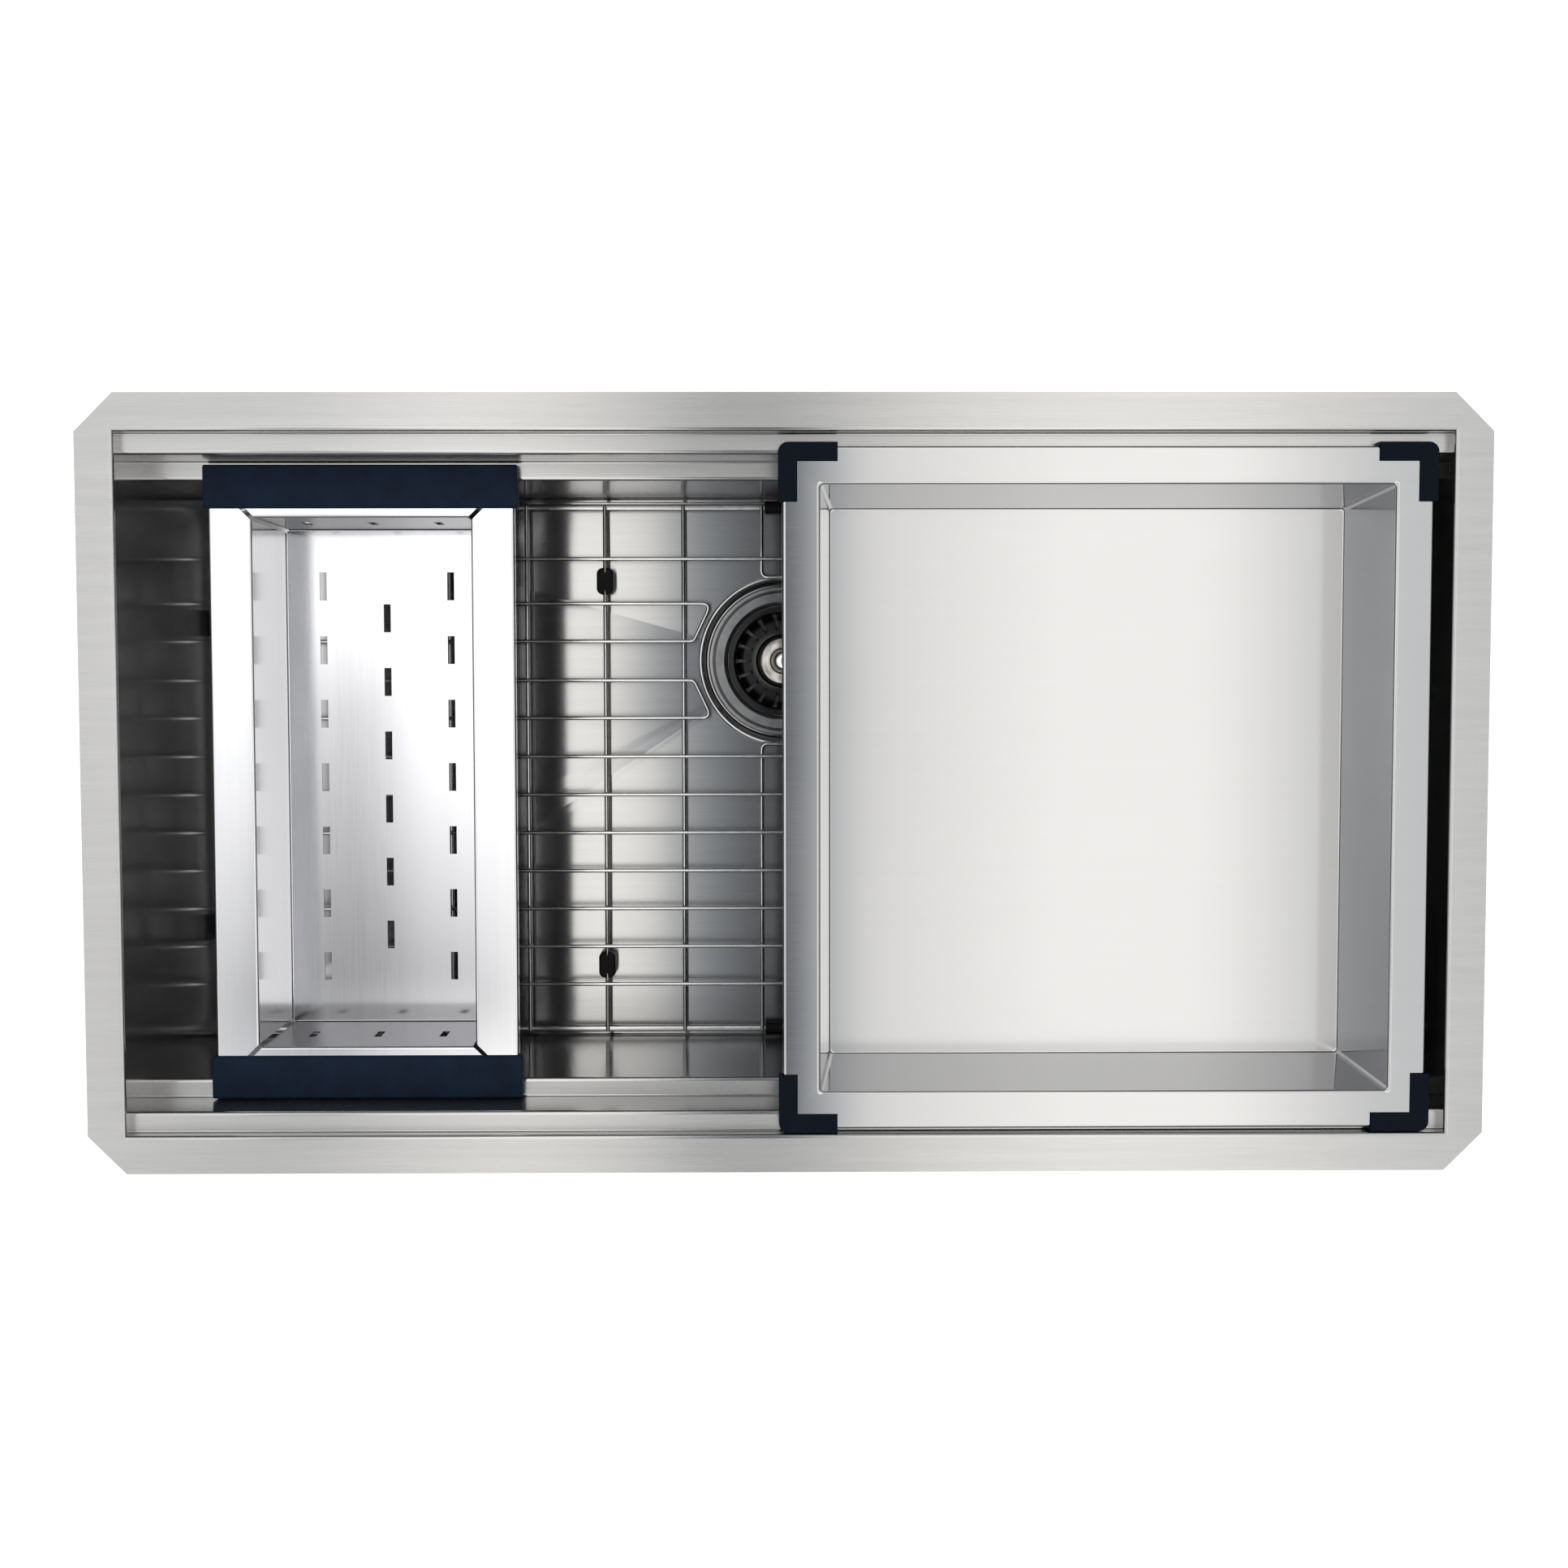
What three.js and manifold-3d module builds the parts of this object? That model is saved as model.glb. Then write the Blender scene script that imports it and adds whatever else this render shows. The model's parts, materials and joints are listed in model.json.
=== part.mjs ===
// Workstation kitchen sink: a two-tier undermount bowl folded from sheet steel, with its
// basket strainer drain, bottom grid, slotted colander and deep tray.
// Millimetres, +Z up, +X to the right, +Y to the back. The origin is the centre of the
// opening, on the flange's top face.
import * as THREE from "three";
import { mergeVertices } from "three/addons/utils/BufferGeometryUtils.js";
import Module from "manifold-3d";

const wasm = await Module();
wasm.setup();

// ---------------------------------------------------------------- driving dimensions

const INCH = 25.4;
const fit = 0.3; // gap between pieces that touch along curved or turned faces

// Bowl
const openingLength = 34 * INCH; // left wall to right wall
const openingWidth = 18 * INCH; // front wall to rear wall, above the upper ledge
const flangeWidth = 25;
const sheet = 1.5; // 16 gauge steel
const foldRadius = 1; // inside radius of a fold
const upperLedgeDrop = 11.5; // flange top to upper ledge
const upperLedgeWidth = 13.5;
const lowerLedgeDrop = 59;
const lowerLedgeWidth = 12.7;
const floorDrop = 245; // flange top to the floor's edge
const wallLean = 4; // how far a long wall leans out between lower ledge and floor
const floorFillet = 4; // inside radius between wall and floor
const floorFall = 5; // floor's edge down to the drain centre, along four creased facets
const floorSpokes = 40; // the pan's sections run outwards from the drain

// Drain
const drainX = 0;
const drainSetback = 146.1; // rear wall to the drain's centre
const recessRadius = 60.5; // pressed seat round the drain hole
const recessSlope = 2;
const recessDepth = 2.4;
const drainHoleRadius = 45;
const strainerFlangeRadius = 4.5 * INCH / 2;
const strainerFlangeThickness = 1.6;
const strainerWall = 1.4;
const strainerThroatRadius = 43; // inside
const strainerLipRadius = 3; // rounding from flange into throat
const strainerDepth = 48; // flange top to the cup's inside bottom
const basketSeatDrop = 9; // flange top to the step that carries the basket
const basketSeatWidth = 3;
const outletRadius = 18; // inside
const outletLength = 22;
const puttyThickness = 0.8;
const rubberWasherThickness = 3;
const frictionRingThickness = 1;
const lockNutThickness = 10;
const lockNutRadius = 51;
const lockNutLug = 5;
const lockNutLugs = 8;
const tailpieceRadius = 1.5 * INCH / 2; // outside
const tailpieceWall = 1.2;
const tailpieceLength = 4 * INCH;
const tailpieceLip = 3.2;
const tailpieceWasherThickness = 2;
const couplingNutWall = 4;
const couplingNutThread = 15; // length over the outlet's thread
const couplingNutRibs = 12;

// Basket
const basketSheet = 1;
const basketDepth = 22;
const basketFloorRadius = 33;
const basketDomeRadius = 20;
const basketDomeRise = 14;
const basketDishRadius = 9;
const basketSlots = 18; // across the fold between the basket's floor and its side
const basketSlotWidth = 2.4;
const basketDish = 3.6; // depth of the dish in the dome's top
const postRadius = 3;
const stopperRadius = 23;
const stopperThickness = 4;
const stopperDrop = 5; // below the basket's floor
const knobRadius = 7;
const knobHeight = 10;

// Bottom grid
const gridEndGap = 11.8; // end wall to the frame wire's centre
const gridSideGap = 3.4; // lower ledge's edge to the frame wire's centre
const gridCentreY = -0.6;
const gridCornerRadius = 16;
const frameWire = 5.5;
const gridWire = 3;
const ringWire = 3.8;
const ringRadius = 63; // to the wire's centre
const gridStandoff = 9; // floor's edge to the underside of the frame
const longWirePitch = 29;
const frontLongWireGap = 20; // least room between the frame and the first long wire
const rearLongWireGap = 39; // rear frame wire to the rearmost long wire
const crossWirePitch = 59.2;
const crossWiresEachSide = 6;
const loopHalfWidth = 16.5; // wires looped back at the drain ring
const hairpinRadius = 69.5; // where the paired wires turn, from the drain centre
const wireBend = 5;
const weldBite = 0.4; // how deep welded wires sink into each other
const wireDip = 12; // length over which a wire's end drops to its seat
const footLength = 20;
const footWidth = 12.5;
const footHeightAboveWire = 1.2;
const footWireIndex = 2;
const bumperWall = 1.85;
const sideBumperLength = 20; // on the left and right frame wires
const sideBumperPitches = [1, -7]; // from the drain centre, in long wire pitches
const middleBumperLength = 28; // on the front and rear frame wires

// Colander
const colanderSheet = 1;
const colanderLeftGap = 43.7; // left wall to the grips
const colanderFrontGap = 1; // grip to the wall above the lower ledge
const colanderRearGap = 2.8;
const colanderHalfWidth = 73.2; // half of its opening, left to right
const colanderDepth = 90;
const colanderLean = 2;
const colanderSideRim = 29;
const colanderEndRim = 32.4;
const rimReturn = 7; // the rim's outer edge, folded down
const cornerSlit = 3; // open gap at each folded corner
const slotLength = 20;
const slotWidth = 5;
const slotPitch = 45.4;
const slotRows = 7;
const endSlotDrop = 34;
const endSlotLength = 18;
const gripWall = 2.2;
const gripTop = 3.2;
const gripInset = 6; // opening's edge to the grip's inner edge
const gripBevel = 4.5;
const gripFoot = 1.2; // thickness under the rim's folded edge

// Tray
const traySheet = 1.2;
const trayHalfLength = 211; // along X, to the rim's outer face
const trayRightGap = 9.7; // right wall to the corner guards
const trayFrontGap = 0.5;
const trayRearGap = 6.5;
const trayFloorMargin = 20; // width of the floor's edge that is drawn with the walls
const trayRim = 24.5;
const trayDepth = 88;
const trayLean = 9;
const trayCornerRadius = 5;
const trayInnerRadius = 2.5;
const trayReturn = 7.5;
const guardArm = 38.5; // from the outer corner
const guardWidth = 12.4;
const guardWall = 2.3;
const guardTop = 1.2;
const guardFoot = 1.2;
const guardRound = 0.9;

// Sound pads
const padThickness = 3;
const padCorner = 12;
const floorPadMargin = 25;
const wallPadHeight = 110;
const wallPadDrop = 100; // flange top to the pad's upper edge
const longPadLength = 620;
const endPadLength = 300;

// ---------------------------------------------------------------- derived places

const xWall = openingLength / 2;
const yWall = openingWidth / 2;
const yUpper = yWall - upperLedgeWidth;
const yLower = yUpper - lowerLedgeWidth;
const yFloor = yLower + wallLean;
const zJoin = -(floorDrop - floorFillet); // where the walls meet the floor pan
const zDrain = -(floorDrop + floorFall);
const zRecess = zDrain - recessDepth;
const zStrainer = zRecess + puttyThickness + strainerFlangeThickness; // flange top
const zUnder = zRecess - sheet; // underside of the pressed seat
const drainY = yWall - drainSetback;

const gridHalfLength = xWall - gridEndGap;
const gridHalfWidth = yLower - gridSideGap;
const frontReach = drainY - longWirePitch / 2 - (gridCentreY - gridHalfWidth);
const longWiresInFront = Math.floor((frontReach - frontLongWireGap) / longWirePitch) - 1;

const gripOuter = fit + gripWall; // colander's rim to the grip's outside
const colanderRimReach = yUpper - (colanderFrontGap + colanderRearGap) / 2 - gripOuter;
const colanderHalfLength = colanderRimReach - colanderEndRim; // of its opening, front to rear
const colanderX = -xWall + colanderLeftGap + gripOuter + colanderSideRim + colanderHalfWidth;
const colanderY = (colanderFrontGap - colanderRearGap) / 2;

const guardOuter = fit + guardWall; // tray's rim to the guard's outside
const trayHalfWidth = yWall - (trayFrontGap + trayRearGap) / 2 - guardOuter;
const trayX = xWall - trayRightGap - guardOuter - trayHalfLength;
const trayY = (trayFrontGap - trayRearGap) / 2;
const BIG = 2000;

// ---------------------------------------------------------------- solids

function toSolid(geometry) {
  const bare = geometry.index ? geometry.toNonIndexed() : geometry.clone();
  bare.deleteAttribute("normal");
  bare.deleteAttribute("uv");
  const merged = mergeVertices(bare, 1e-4);
  const corners = merged.index.array;
  const position = merged.attributes.position;
  const a = new THREE.Vector3();
  const b = new THREE.Vector3();
  const c = new THREE.Vector3();
  let volume = 0;
  for (let i = 0; i < corners.length; i += 3) {
    a.fromBufferAttribute(position, corners[i]);
    b.fromBufferAttribute(position, corners[i + 1]);
    c.fromBufferAttribute(position, corners[i + 2]);
    volume += a.dot(b.cross(c));
  }
  const triVerts = new Uint32Array(corners);
  if (volume < 0) triVerts.reverse();
  return new wasm.Manifold(
    new wasm.Mesh({ numProp: 3, vertProperties: new Float32Array(position.array), triVerts }),
  );
}

function toGeometry(solid) {
  const made = solid.getMesh();
  const geometry = new THREE.BufferGeometry();
  geometry.setAttribute("position", new THREE.BufferAttribute(made.vertProperties, 3));
  geometry.setIndex(new THREE.BufferAttribute(made.triVerts, 1));
  const flat = geometry.toNonIndexed();
  flat.computeVertexNormals();
  return flat;
}

const join = (solids) => solids.reduce((whole, piece) => whole.add(piece));
const cut = (solid, tools) => tools.reduce((rest, tool) => rest.subtract(tool), solid);

// Axes that an extruded outline's x, y and depth are laid along.
const ALONG_X = [[0, 1, 0], [0, 0, 1], [1, 0, 0]];
const ALONG_Y = [[1, 0, 0], [0, 0, 1], [0, -1, 0]];
const ALONG_Z = [[1, 0, 0], [0, 1, 0], [0, 0, 1]];

// A closed outline extruded from -depth / 2 to depth / 2 along one axis.
function prism(shape, depth, axes = ALONG_Z, centre = [0, 0, 0]) {
  const outline = Array.isArray(shape) ? new THREE.Shape(shape) : shape;
  const geometry = new THREE.ExtrudeGeometry(outline, {
    depth,
    bevelEnabled: false,
    curveSegments: 6,
  });
  geometry.translate(0, 0, -depth / 2);
  geometry.applyMatrix4(
    new THREE.Matrix4().makeBasis(...axes.map((axis) => new THREE.Vector3(...axis))),
  );
  geometry.translate(...centre);
  return toSolid(geometry);
}

// An outline extruded between two heights.
function slab(shape, bottom, top, x = 0, y = 0) {
  return prism(shape, top - bottom, ALONG_Z, [x, y, (top + bottom) / 2]);
}

function box(width, depth, height, centre) {
  const geometry = new THREE.BoxGeometry(width, depth, height);
  geometry.translate(...centre);
  return toSolid(geometry);
}

// A profile of [radius, z] turned round a vertical axis.
function turned(profile, x, y, segments = 32) {
  const points = profile.map(([r, z]) => new THREE.Vector2(r, z));
  if (points[0].x > 0) points.push(points[0].clone());
  const geometry = new THREE.LatheGeometry(points, segments);
  geometry.rotateX(Math.PI / 2);
  geometry.translate(x, y, 0);
  return toSolid(geometry);
}

function roundedRectangle(halfX, halfY, radius, steps = 4) {
  const points = [];
  for (let quarter = 0; quarter < 4; quarter++) {
    const signX = quarter === 0 || quarter === 3 ? 1 : -1;
    const signY = quarter < 2 ? 1 : -1;
    for (let step = 0; step <= steps; step++) {
      const angle = (quarter + step / steps) * (Math.PI / 2);
      points.push(
        new THREE.Vector2(
          signX * (halfX - radius) + radius * Math.cos(angle),
          signY * (halfY - radius) + radius * Math.sin(angle),
        ),
      );
    }
  }
  return points;
}

// Two-sided outline of a folded sheet. The points run along its visible face and the sheet's
// back lies to their left, or to their right where the thickness is negative. Every corner
// becomes a fold of constant thickness.
function foldedSheet(points, thickness, inside, steps = 3) {
  const path = points.map(([x, y]) => new THREE.Vector2(x, y));
  const face = [];
  const back = [];
  const left = (d) => new THREE.Vector2(-d.y, d.x);
  const direction = (i) => path[i + 1].clone().sub(path[i]).normalize();
  face.push(path[0].clone());
  back.push(path[0].clone().addScaledVector(left(direction(0)), thickness));
  for (let i = 1; i < path.length - 1; i++) {
    const before = direction(i - 1);
    const after = direction(i);
    const turn = Math.atan2(before.cross(after), before.dot(after));
    const side = Math.sign(turn);
    const backInside = side === Math.sign(thickness);
    const outside = inside + Math.abs(thickness);
    const faceRadius = backInside ? outside : inside;
    const backRadius = backInside ? inside : outside;
    const start = path[i]
      .clone()
      .addScaledVector(before, -faceRadius * Math.tan(Math.abs(turn) / 2));
    const centre = start.clone().addScaledVector(left(before), side * faceRadius);
    for (let step = 0; step <= steps; step++) {
      const spoke = left(before)
        .multiplyScalar(-side)
        .rotateAround(new THREE.Vector2(), (turn * step) / steps);
      face.push(centre.clone().addScaledVector(spoke, faceRadius));
      back.push(centre.clone().addScaledVector(spoke, backRadius));
    }
  }
  const last = path.length - 1;
  face.push(path[last].clone());
  back.push(path[last].clone().addScaledVector(left(direction(last - 1)), thickness));
  return { face, back };
}

const sheetOutline = ({ face, back }) => [...face, ...back.toReversed()];

// Rings of equal point counts joined into one closed skin. With loop, the last ring joins the
// first, which leaves a hole through the middle; otherwise both ends are closed flat.
function ringSkin(rings, loop) {
  const count = rings[0].length;
  const corners = [];
  const quad = (a, b, c, d) => corners.push(a, b, c, a, c, d);
  const last = loop ? rings.length : rings.length - 1;
  for (let r = 0; r < last; r++) {
    const ring = rings[r];
    const next = rings[(r + 1) % rings.length];
    for (let i = 0; i < count; i++) {
      const j = (i + 1) % count;
      quad(ring[i], ring[j], next[j], next[i]);
    }
  }
  const fan = (ring, flip) => {
    for (let i = 1; i < count - 1; i++) {
      if (flip) corners.push(ring[0], ring[i + 1], ring[i]);
      else corners.push(ring[0], ring[i], ring[i + 1]);
    }
  };
  if (!loop) {
    fan(rings[0], true);
    fan(rings[rings.length - 1], false);
  }
  const geometry = new THREE.BufferGeometry().setFromPoints(corners);
  return toSolid(geometry);
}

// A round wire through points [x, y, z], mitred at each of them.
function wire(points, diameter, { closed = false, sides = 6 } = {}) {
  const path = points.map((p) => new THREE.Vector3(...p));
  const count = path.length;
  const up = new THREE.Vector3(0, 0, 1);
  const rings = path.map((point, i) => {
    const before = closed || i > 0 ? path[(i + count - 1) % count] : null;
    const after = closed || i < count - 1 ? path[(i + 1) % count] : null;
    const arrive = (before ? point.clone().sub(before) : after.clone().sub(point)).normalize();
    const leave = (after ? after.clone().sub(point) : arrive.clone()).normalize();
    const along = arrive.clone().add(leave).normalize();
    const across = along.clone().cross(up).normalize();
    const over = across.clone().cross(along).normalize();
    const flatTurn = new THREE.Vector3(arrive.x, arrive.y, 0).normalize();
    const widen = 1 / Math.max(0.5, Math.abs(flatTurn.dot(new THREE.Vector3(along.x, along.y, 0).normalize())));
    return Array.from({ length: sides }, (_, k) => {
      const angle = ((k + 0.5) * 2 * Math.PI) / sides;
      return point
        .clone()
        .addScaledVector(across, (diameter / 2) * Math.cos(angle) * widen)
        .addScaledVector(over, (diameter / 2) * Math.sin(angle));
    });
  });
  return ringSkin(rings, closed);
}

// Points of a flat path whose corners are rounded to a radius, each point with its height.
function roundedPath(points, radius, steps = 3) {
  const out = [[...points[0]]];
  for (let i = 1; i < points.length - 1; i++) {
    const corner = new THREE.Vector3(...points[i]);
    const before = new THREE.Vector3(...points[i - 1]).sub(corner);
    const after = new THREE.Vector3(...points[i + 1]).sub(corner);
    const angle = before.angleTo(after);
    const back = radius / Math.tan(angle / 2);
    const start = corner.clone().addScaledVector(before.normalize(), back);
    const end = corner.clone().addScaledVector(after.normalize(), back);
    const bend = new THREE.QuadraticBezierCurve3(start, corner, end);
    for (const p of bend.getPoints(steps)) out.push(p.toArray());
  }
  out.push([...points.at(-1)]);
  return out;
}

// ---------------------------------------------------------------- finishes

const finish = (color, roughness, metalness) =>
  new THREE.MeshStandardMaterial({ color, roughness, metalness });
const brushed = finish(0xcdcbcb, 0.32, 1);
const polished = finish(0xd8d8da, 0.15, 1);
const castSteel = finish(0xb3aca4, 0.38, 1);
const silicone = finish(0x1c2232, 0.62, 0);
const blackRubber = finish(0x121214, 0.7, 0);
const greyPad = finish(0x5c5e60, 0.85, 0);
const greyPlastic = finish(0xe4e2dc, 0.5, 0);
const putty = finish(0xb9b2a2, 0.9, 0);
const fibre = finish(0x8a6f4e, 0.9, 0);

const sinkGroup = new THREE.Group();
const basketGroup = new THREE.Group();
const gridGroup = new THREE.Group();
const colanderGroup = new THREE.Group();
const trayGroup = new THREE.Group();

function addPiece(group, name, solid, material) {
  const mesh = new THREE.Mesh(toGeometry(solid), material);
  mesh.name = name;
  group.add(mesh);
  return mesh;
}

// ---------------------------------------------------------------- bowl

// Section of a long wall from the flange's edge down both ledges to the floor pan.
function longWallSection() {
  const section = foldedSheet(
    [
      [yWall + flangeWidth, 0],
      [yWall, 0],
      [yWall, -upperLedgeDrop],
      [yUpper, -upperLedgeDrop],
      [yUpper, -lowerLedgeDrop],
      [yLower, -lowerLedgeDrop],
      [yFloor, zJoin],
    ],
    sheet,
    foldRadius,
  );
  section.back.at(-1).set(yFloor + sheet, zJoin);
  return section;
}

// Everything outside the 45 degree line that carries the corner's mitre, on one side of it.
function mitreCutter(side, ownX) {
  const reach = BIG;
  const corner = new THREE.Vector2(xWall, yWall);
  const points = ownX
    ? [corner, [xWall + reach, yWall + reach], [xWall - reach, yWall + reach], [xWall - reach, yWall]]
    : [corner, [xWall, yWall - reach], [xWall + reach, yWall - reach], [xWall + reach, yWall + reach]];
  const outline = points.map((p) => (p.isVector2 ? p : new THREE.Vector2(...p)));
  const mirrored = outline.map((p) => new THREE.Vector2(side[0] * p.x, side[1] * p.y));
  return slab(mirrored, -BIG, BIG);
}

// The flange's corners are cut off at 45 degrees, level with the opening's edges.
function flangeCornerCutter(side) {
  const far = flangeWidth + BIG;
  const points = [
    [xWall + flangeWidth + 1, yWall - 1],
    [xWall + far, yWall - 1],
    [xWall + far, yWall + far],
    [xWall - 1, yWall + far],
    [xWall - 1, yWall + flangeWidth + 1],
  ];
  return slab(points.map(([x, y]) => new THREE.Vector2(side[0] * x, side[1] * y)), -BIG, BIG);
}

function longWall() {
  const outline = sheetOutline(longWallSection());
  const wall = prism(outline, 2 * (xWall + flangeWidth), ALONG_X);
  return cut(wall, [
    mitreCutter([1, 1], false),
    mitreCutter([-1, 1], false),
    flangeCornerCutter([1, 1]),
    flangeCornerCutter([-1, 1]),
  ]);
}

function endWall() {
  const plateTop = -(foldRadius + sheet);
  const back = longWallSection().back.filter((p) => p.y < plateTop && p.x < yWall + sheet + 0.01);
  const plateHalf = [new THREE.Vector2(yWall + sheet, plateTop), ...back];
  const mirrored = plateHalf.toReversed().map((p) => new THREE.Vector2(-p.x, p.y));
  const plate = prism([...plateHalf, ...mirrored], sheet, ALONG_X, [xWall + sheet / 2, 0, 0]);
  const fold = foldedSheet(
    [
      [xWall + flangeWidth, 0],
      [xWall, 0],
      [xWall, -upperLedgeDrop],
    ],
    sheet,
    foldRadius,
  );
  const flange = prism(sheetOutline(fold), 2 * (yWall + flangeWidth), ALONG_Y);
  return cut(flange.add(plate), [
    mitreCutter([1, 1], true),
    mitreCutter([1, -1], true),
    flangeCornerCutter([1, 1]),
    flangeCornerCutter([1, -1]),
  ]);
}

// Height of the creased floor above a point.
function floorHeight(x, y) {
  const side = Math.abs(x - drainX) / (xWall - floorFillet);
  const reach = yFloor - floorFillet + (y > drainY ? -drainY : drainY);
  const share = Math.max(side, Math.abs(y - drainY) / reach);
  return -floorDrop - floorFall * (1 - share);
}

// The floor pan: an upturned, filleted rim, four facets that fall to the drain, the pressed
// seat and the drain hole. Each ring has one point per spoke from the drain centre.
function floorPan() {
  const halfX = xWall - floorFillet;
  const halfY = yFloor - floorFillet;
  const angles = Array.from({ length: floorSpokes }, (_, k) => (2 * Math.PI * k) / floorSpokes - Math.PI);
  for (const [sx, sy] of [[1, 1], [-1, 1], [-1, -1], [1, -1]]) {
    const corner = Math.atan2(sy * halfY - drainY, sx * halfX - drainX);
    const nearest = angles.reduce((best, angle) =>
      (Math.abs(angle - corner) < Math.abs(best - corner) ? angle : best));
    angles[angles.indexOf(nearest)] = corner;
  }
  const edge = angles.map((angle) => {
    const along = [Math.cos(angle), Math.sin(angle)];
    const reachX = ((along[0] < 0 ? -halfX : halfX) - drainX) / along[0];
    const reachY = ((along[1] < 0 ? -halfY : halfY) - drainY) / along[1];
    const reach = Math.min(reachX, reachY);
    return [drainX + along[0] * reach, drainY + along[1] * reach];
  });
  const rim = (grow, z) =>
    edge.map(([x, y]) =>
      new THREE.Vector3((x * (halfX + grow)) / halfX, (y * (halfY + grow)) / halfY, z));
  const round = (radius, height) =>
    edge.map(([x, y]) => {
      const spoke = Math.hypot(x - drainX, y - drainY);
      const share = radius / spoke;
      const fall = -floorDrop - floorFall * (1 - share);
      const z = height === null ? fall : height;
      return new THREE.Vector3(drainX + (x - drainX) * share, drainY + (y - drainY) * share, z);
    });
  const lower = (ring) => ring.map((p) => p.clone().setZ(p.z - sheet));
  const steps = 3;
  const fillet = (radius) =>
    Array.from({ length: steps }, (_, k) => {
      const angle = ((Math.PI / 2) * k) / steps;
      return rim(radius * Math.cos(angle), zJoin - radius * Math.sin(angle));
    });
  const slope = round(recessRadius, null);
  const seat = round(recessRadius - recessSlope, zRecess);
  const hole = round(drainHoleRadius, zRecess);
  const rings = [
    ...fillet(floorFillet),
    rim(0, -floorDrop),
    slope,
    seat,
    hole,
    lower(hole),
    lower(seat),
    lower(slope),
    rim(0, -floorDrop - sheet),
    ...fillet(floorFillet + sheet).toReversed(),
  ];
  return ringSkin(rings, true);
}

const longWallSolid = longWall();
const endWallSolid = endWall();
addPiece(sinkGroup, "rear_wall_panel", longWallSolid, brushed);
addPiece(sinkGroup, "front_wall_panel", longWallSolid, brushed).rotation.z = Math.PI;
addPiece(sinkGroup, "right_end_panel", endWallSolid, brushed);
addPiece(sinkGroup, "left_end_panel", endWallSolid, brushed).rotation.z = Math.PI;
addPiece(sinkGroup, "floor_pan", floorPan(), brushed);

// ---------------------------------------------------------------- sound pads

// A pad laid along the underside of one sloping facet of the floor.
function floorPad(centre, halfX, halfY, slope) {
  const outline = roundedRectangle(halfX, halfY, padCorner, 3);
  const top = zDrain - sheet - fit;
  const geometry = new THREE.ExtrudeGeometry(new THREE.Shape(outline), {
    depth: padThickness,
    bevelEnabled: false,
  });
  geometry.translate(centre[0], centre[1], top - padThickness);
  const shear = new THREE.Matrix4().set(
    1, 0, 0, 0,
    0, 1, 0, 0,
    slope[0], slope[1], 1, -slope[0] * drainX - slope[1] * drainY,
    0, 0, 0, 1,
  );
  geometry.applyMatrix4(shear);
  return toSolid(geometry);
}

function addFloorPads() {
  const facetX = xWall - floorFillet;
  const facetFront = yFloor - floorFillet + drainY;
  const sideSlope = floorFall / facetX;
  const sideHalf = [0.17 * facetX, 0.3 * facetFront];
  const sideX = facetX - floorPadMargin - sideHalf[0];
  const sideY = 30;
  for (const [name, side] of [["left_floor_pad", -1], ["right_floor_pad", 1]]) {
    const pad = floorPad([side * sideX, sideY], ...sideHalf, [side * sideSlope, 0]);
    addPiece(sinkGroup, name, pad, greyPad);
  }
  const frontSlope = -floorFall / facetFront;
  const frontHalf = [0.5 * facetX, 0.16 * facetFront];
  const frontY = -(yFloor - floorFillet - floorPadMargin - frontHalf[1]);
  const frontPad = floorPad([0, frontY], ...frontHalf, [0, frontSlope]);
  addPiece(sinkGroup, "front_floor_pad", frontPad, greyPad);
}

// A pad on the outside of a long wall follows the wall's lean.
function longWallPad() {
  const lean = wallLean / (-lowerLedgeDrop - zJoin);
  const yAt = (z) => yLower + sheet / Math.cos(Math.atan(lean)) + fit + lean * (-lowerLedgeDrop - z);
  const top = -wallPadDrop;
  const bottom = top - wallPadHeight;
  const outline = [
    [yAt(top), top],
    [yAt(bottom), bottom],
    [yAt(bottom) + padThickness, bottom + padThickness],
    [yAt(top) + padThickness, top - padThickness],
  ].map(([y, z]) => new THREE.Vector2(y, z));
  return prism(outline, longPadLength, ALONG_X);
}

function endWallPad() {
  const inner = xWall + sheet + fit;
  const top = -wallPadDrop;
  const bottom = top - wallPadHeight;
  const outline = [
    [inner, top],
    [inner, bottom],
    [inner + padThickness, bottom + padThickness],
    [inner + padThickness, top - padThickness],
  ].map(([x, z]) => new THREE.Vector2(x, z));
  return prism(outline, endPadLength, ALONG_Y);
}

addFloorPads();
const longPad = longWallPad();
const endPad = endWallPad();
addPiece(sinkGroup, "rear_wall_pad", longPad, greyPad);
addPiece(sinkGroup, "front_wall_pad", longPad, greyPad).rotation.z = Math.PI;
addPiece(sinkGroup, "right_wall_pad", endPad, greyPad);
addPiece(sinkGroup, "left_wall_pad", endPad, greyPad).rotation.z = Math.PI;

// ---------------------------------------------------------------- drain

const throatOuter = strainerThroatRadius + strainerWall;
const cupRadius = strainerThroatRadius - basketSeatWidth; // inside, below the basket's seat
const zSeat = zStrainer - basketSeatDrop;
const zCup = zStrainer - strainerDepth;
const outletOuter = outletRadius + strainerWall + 3;
const zOutlet = zCup - outletLength;

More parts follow.
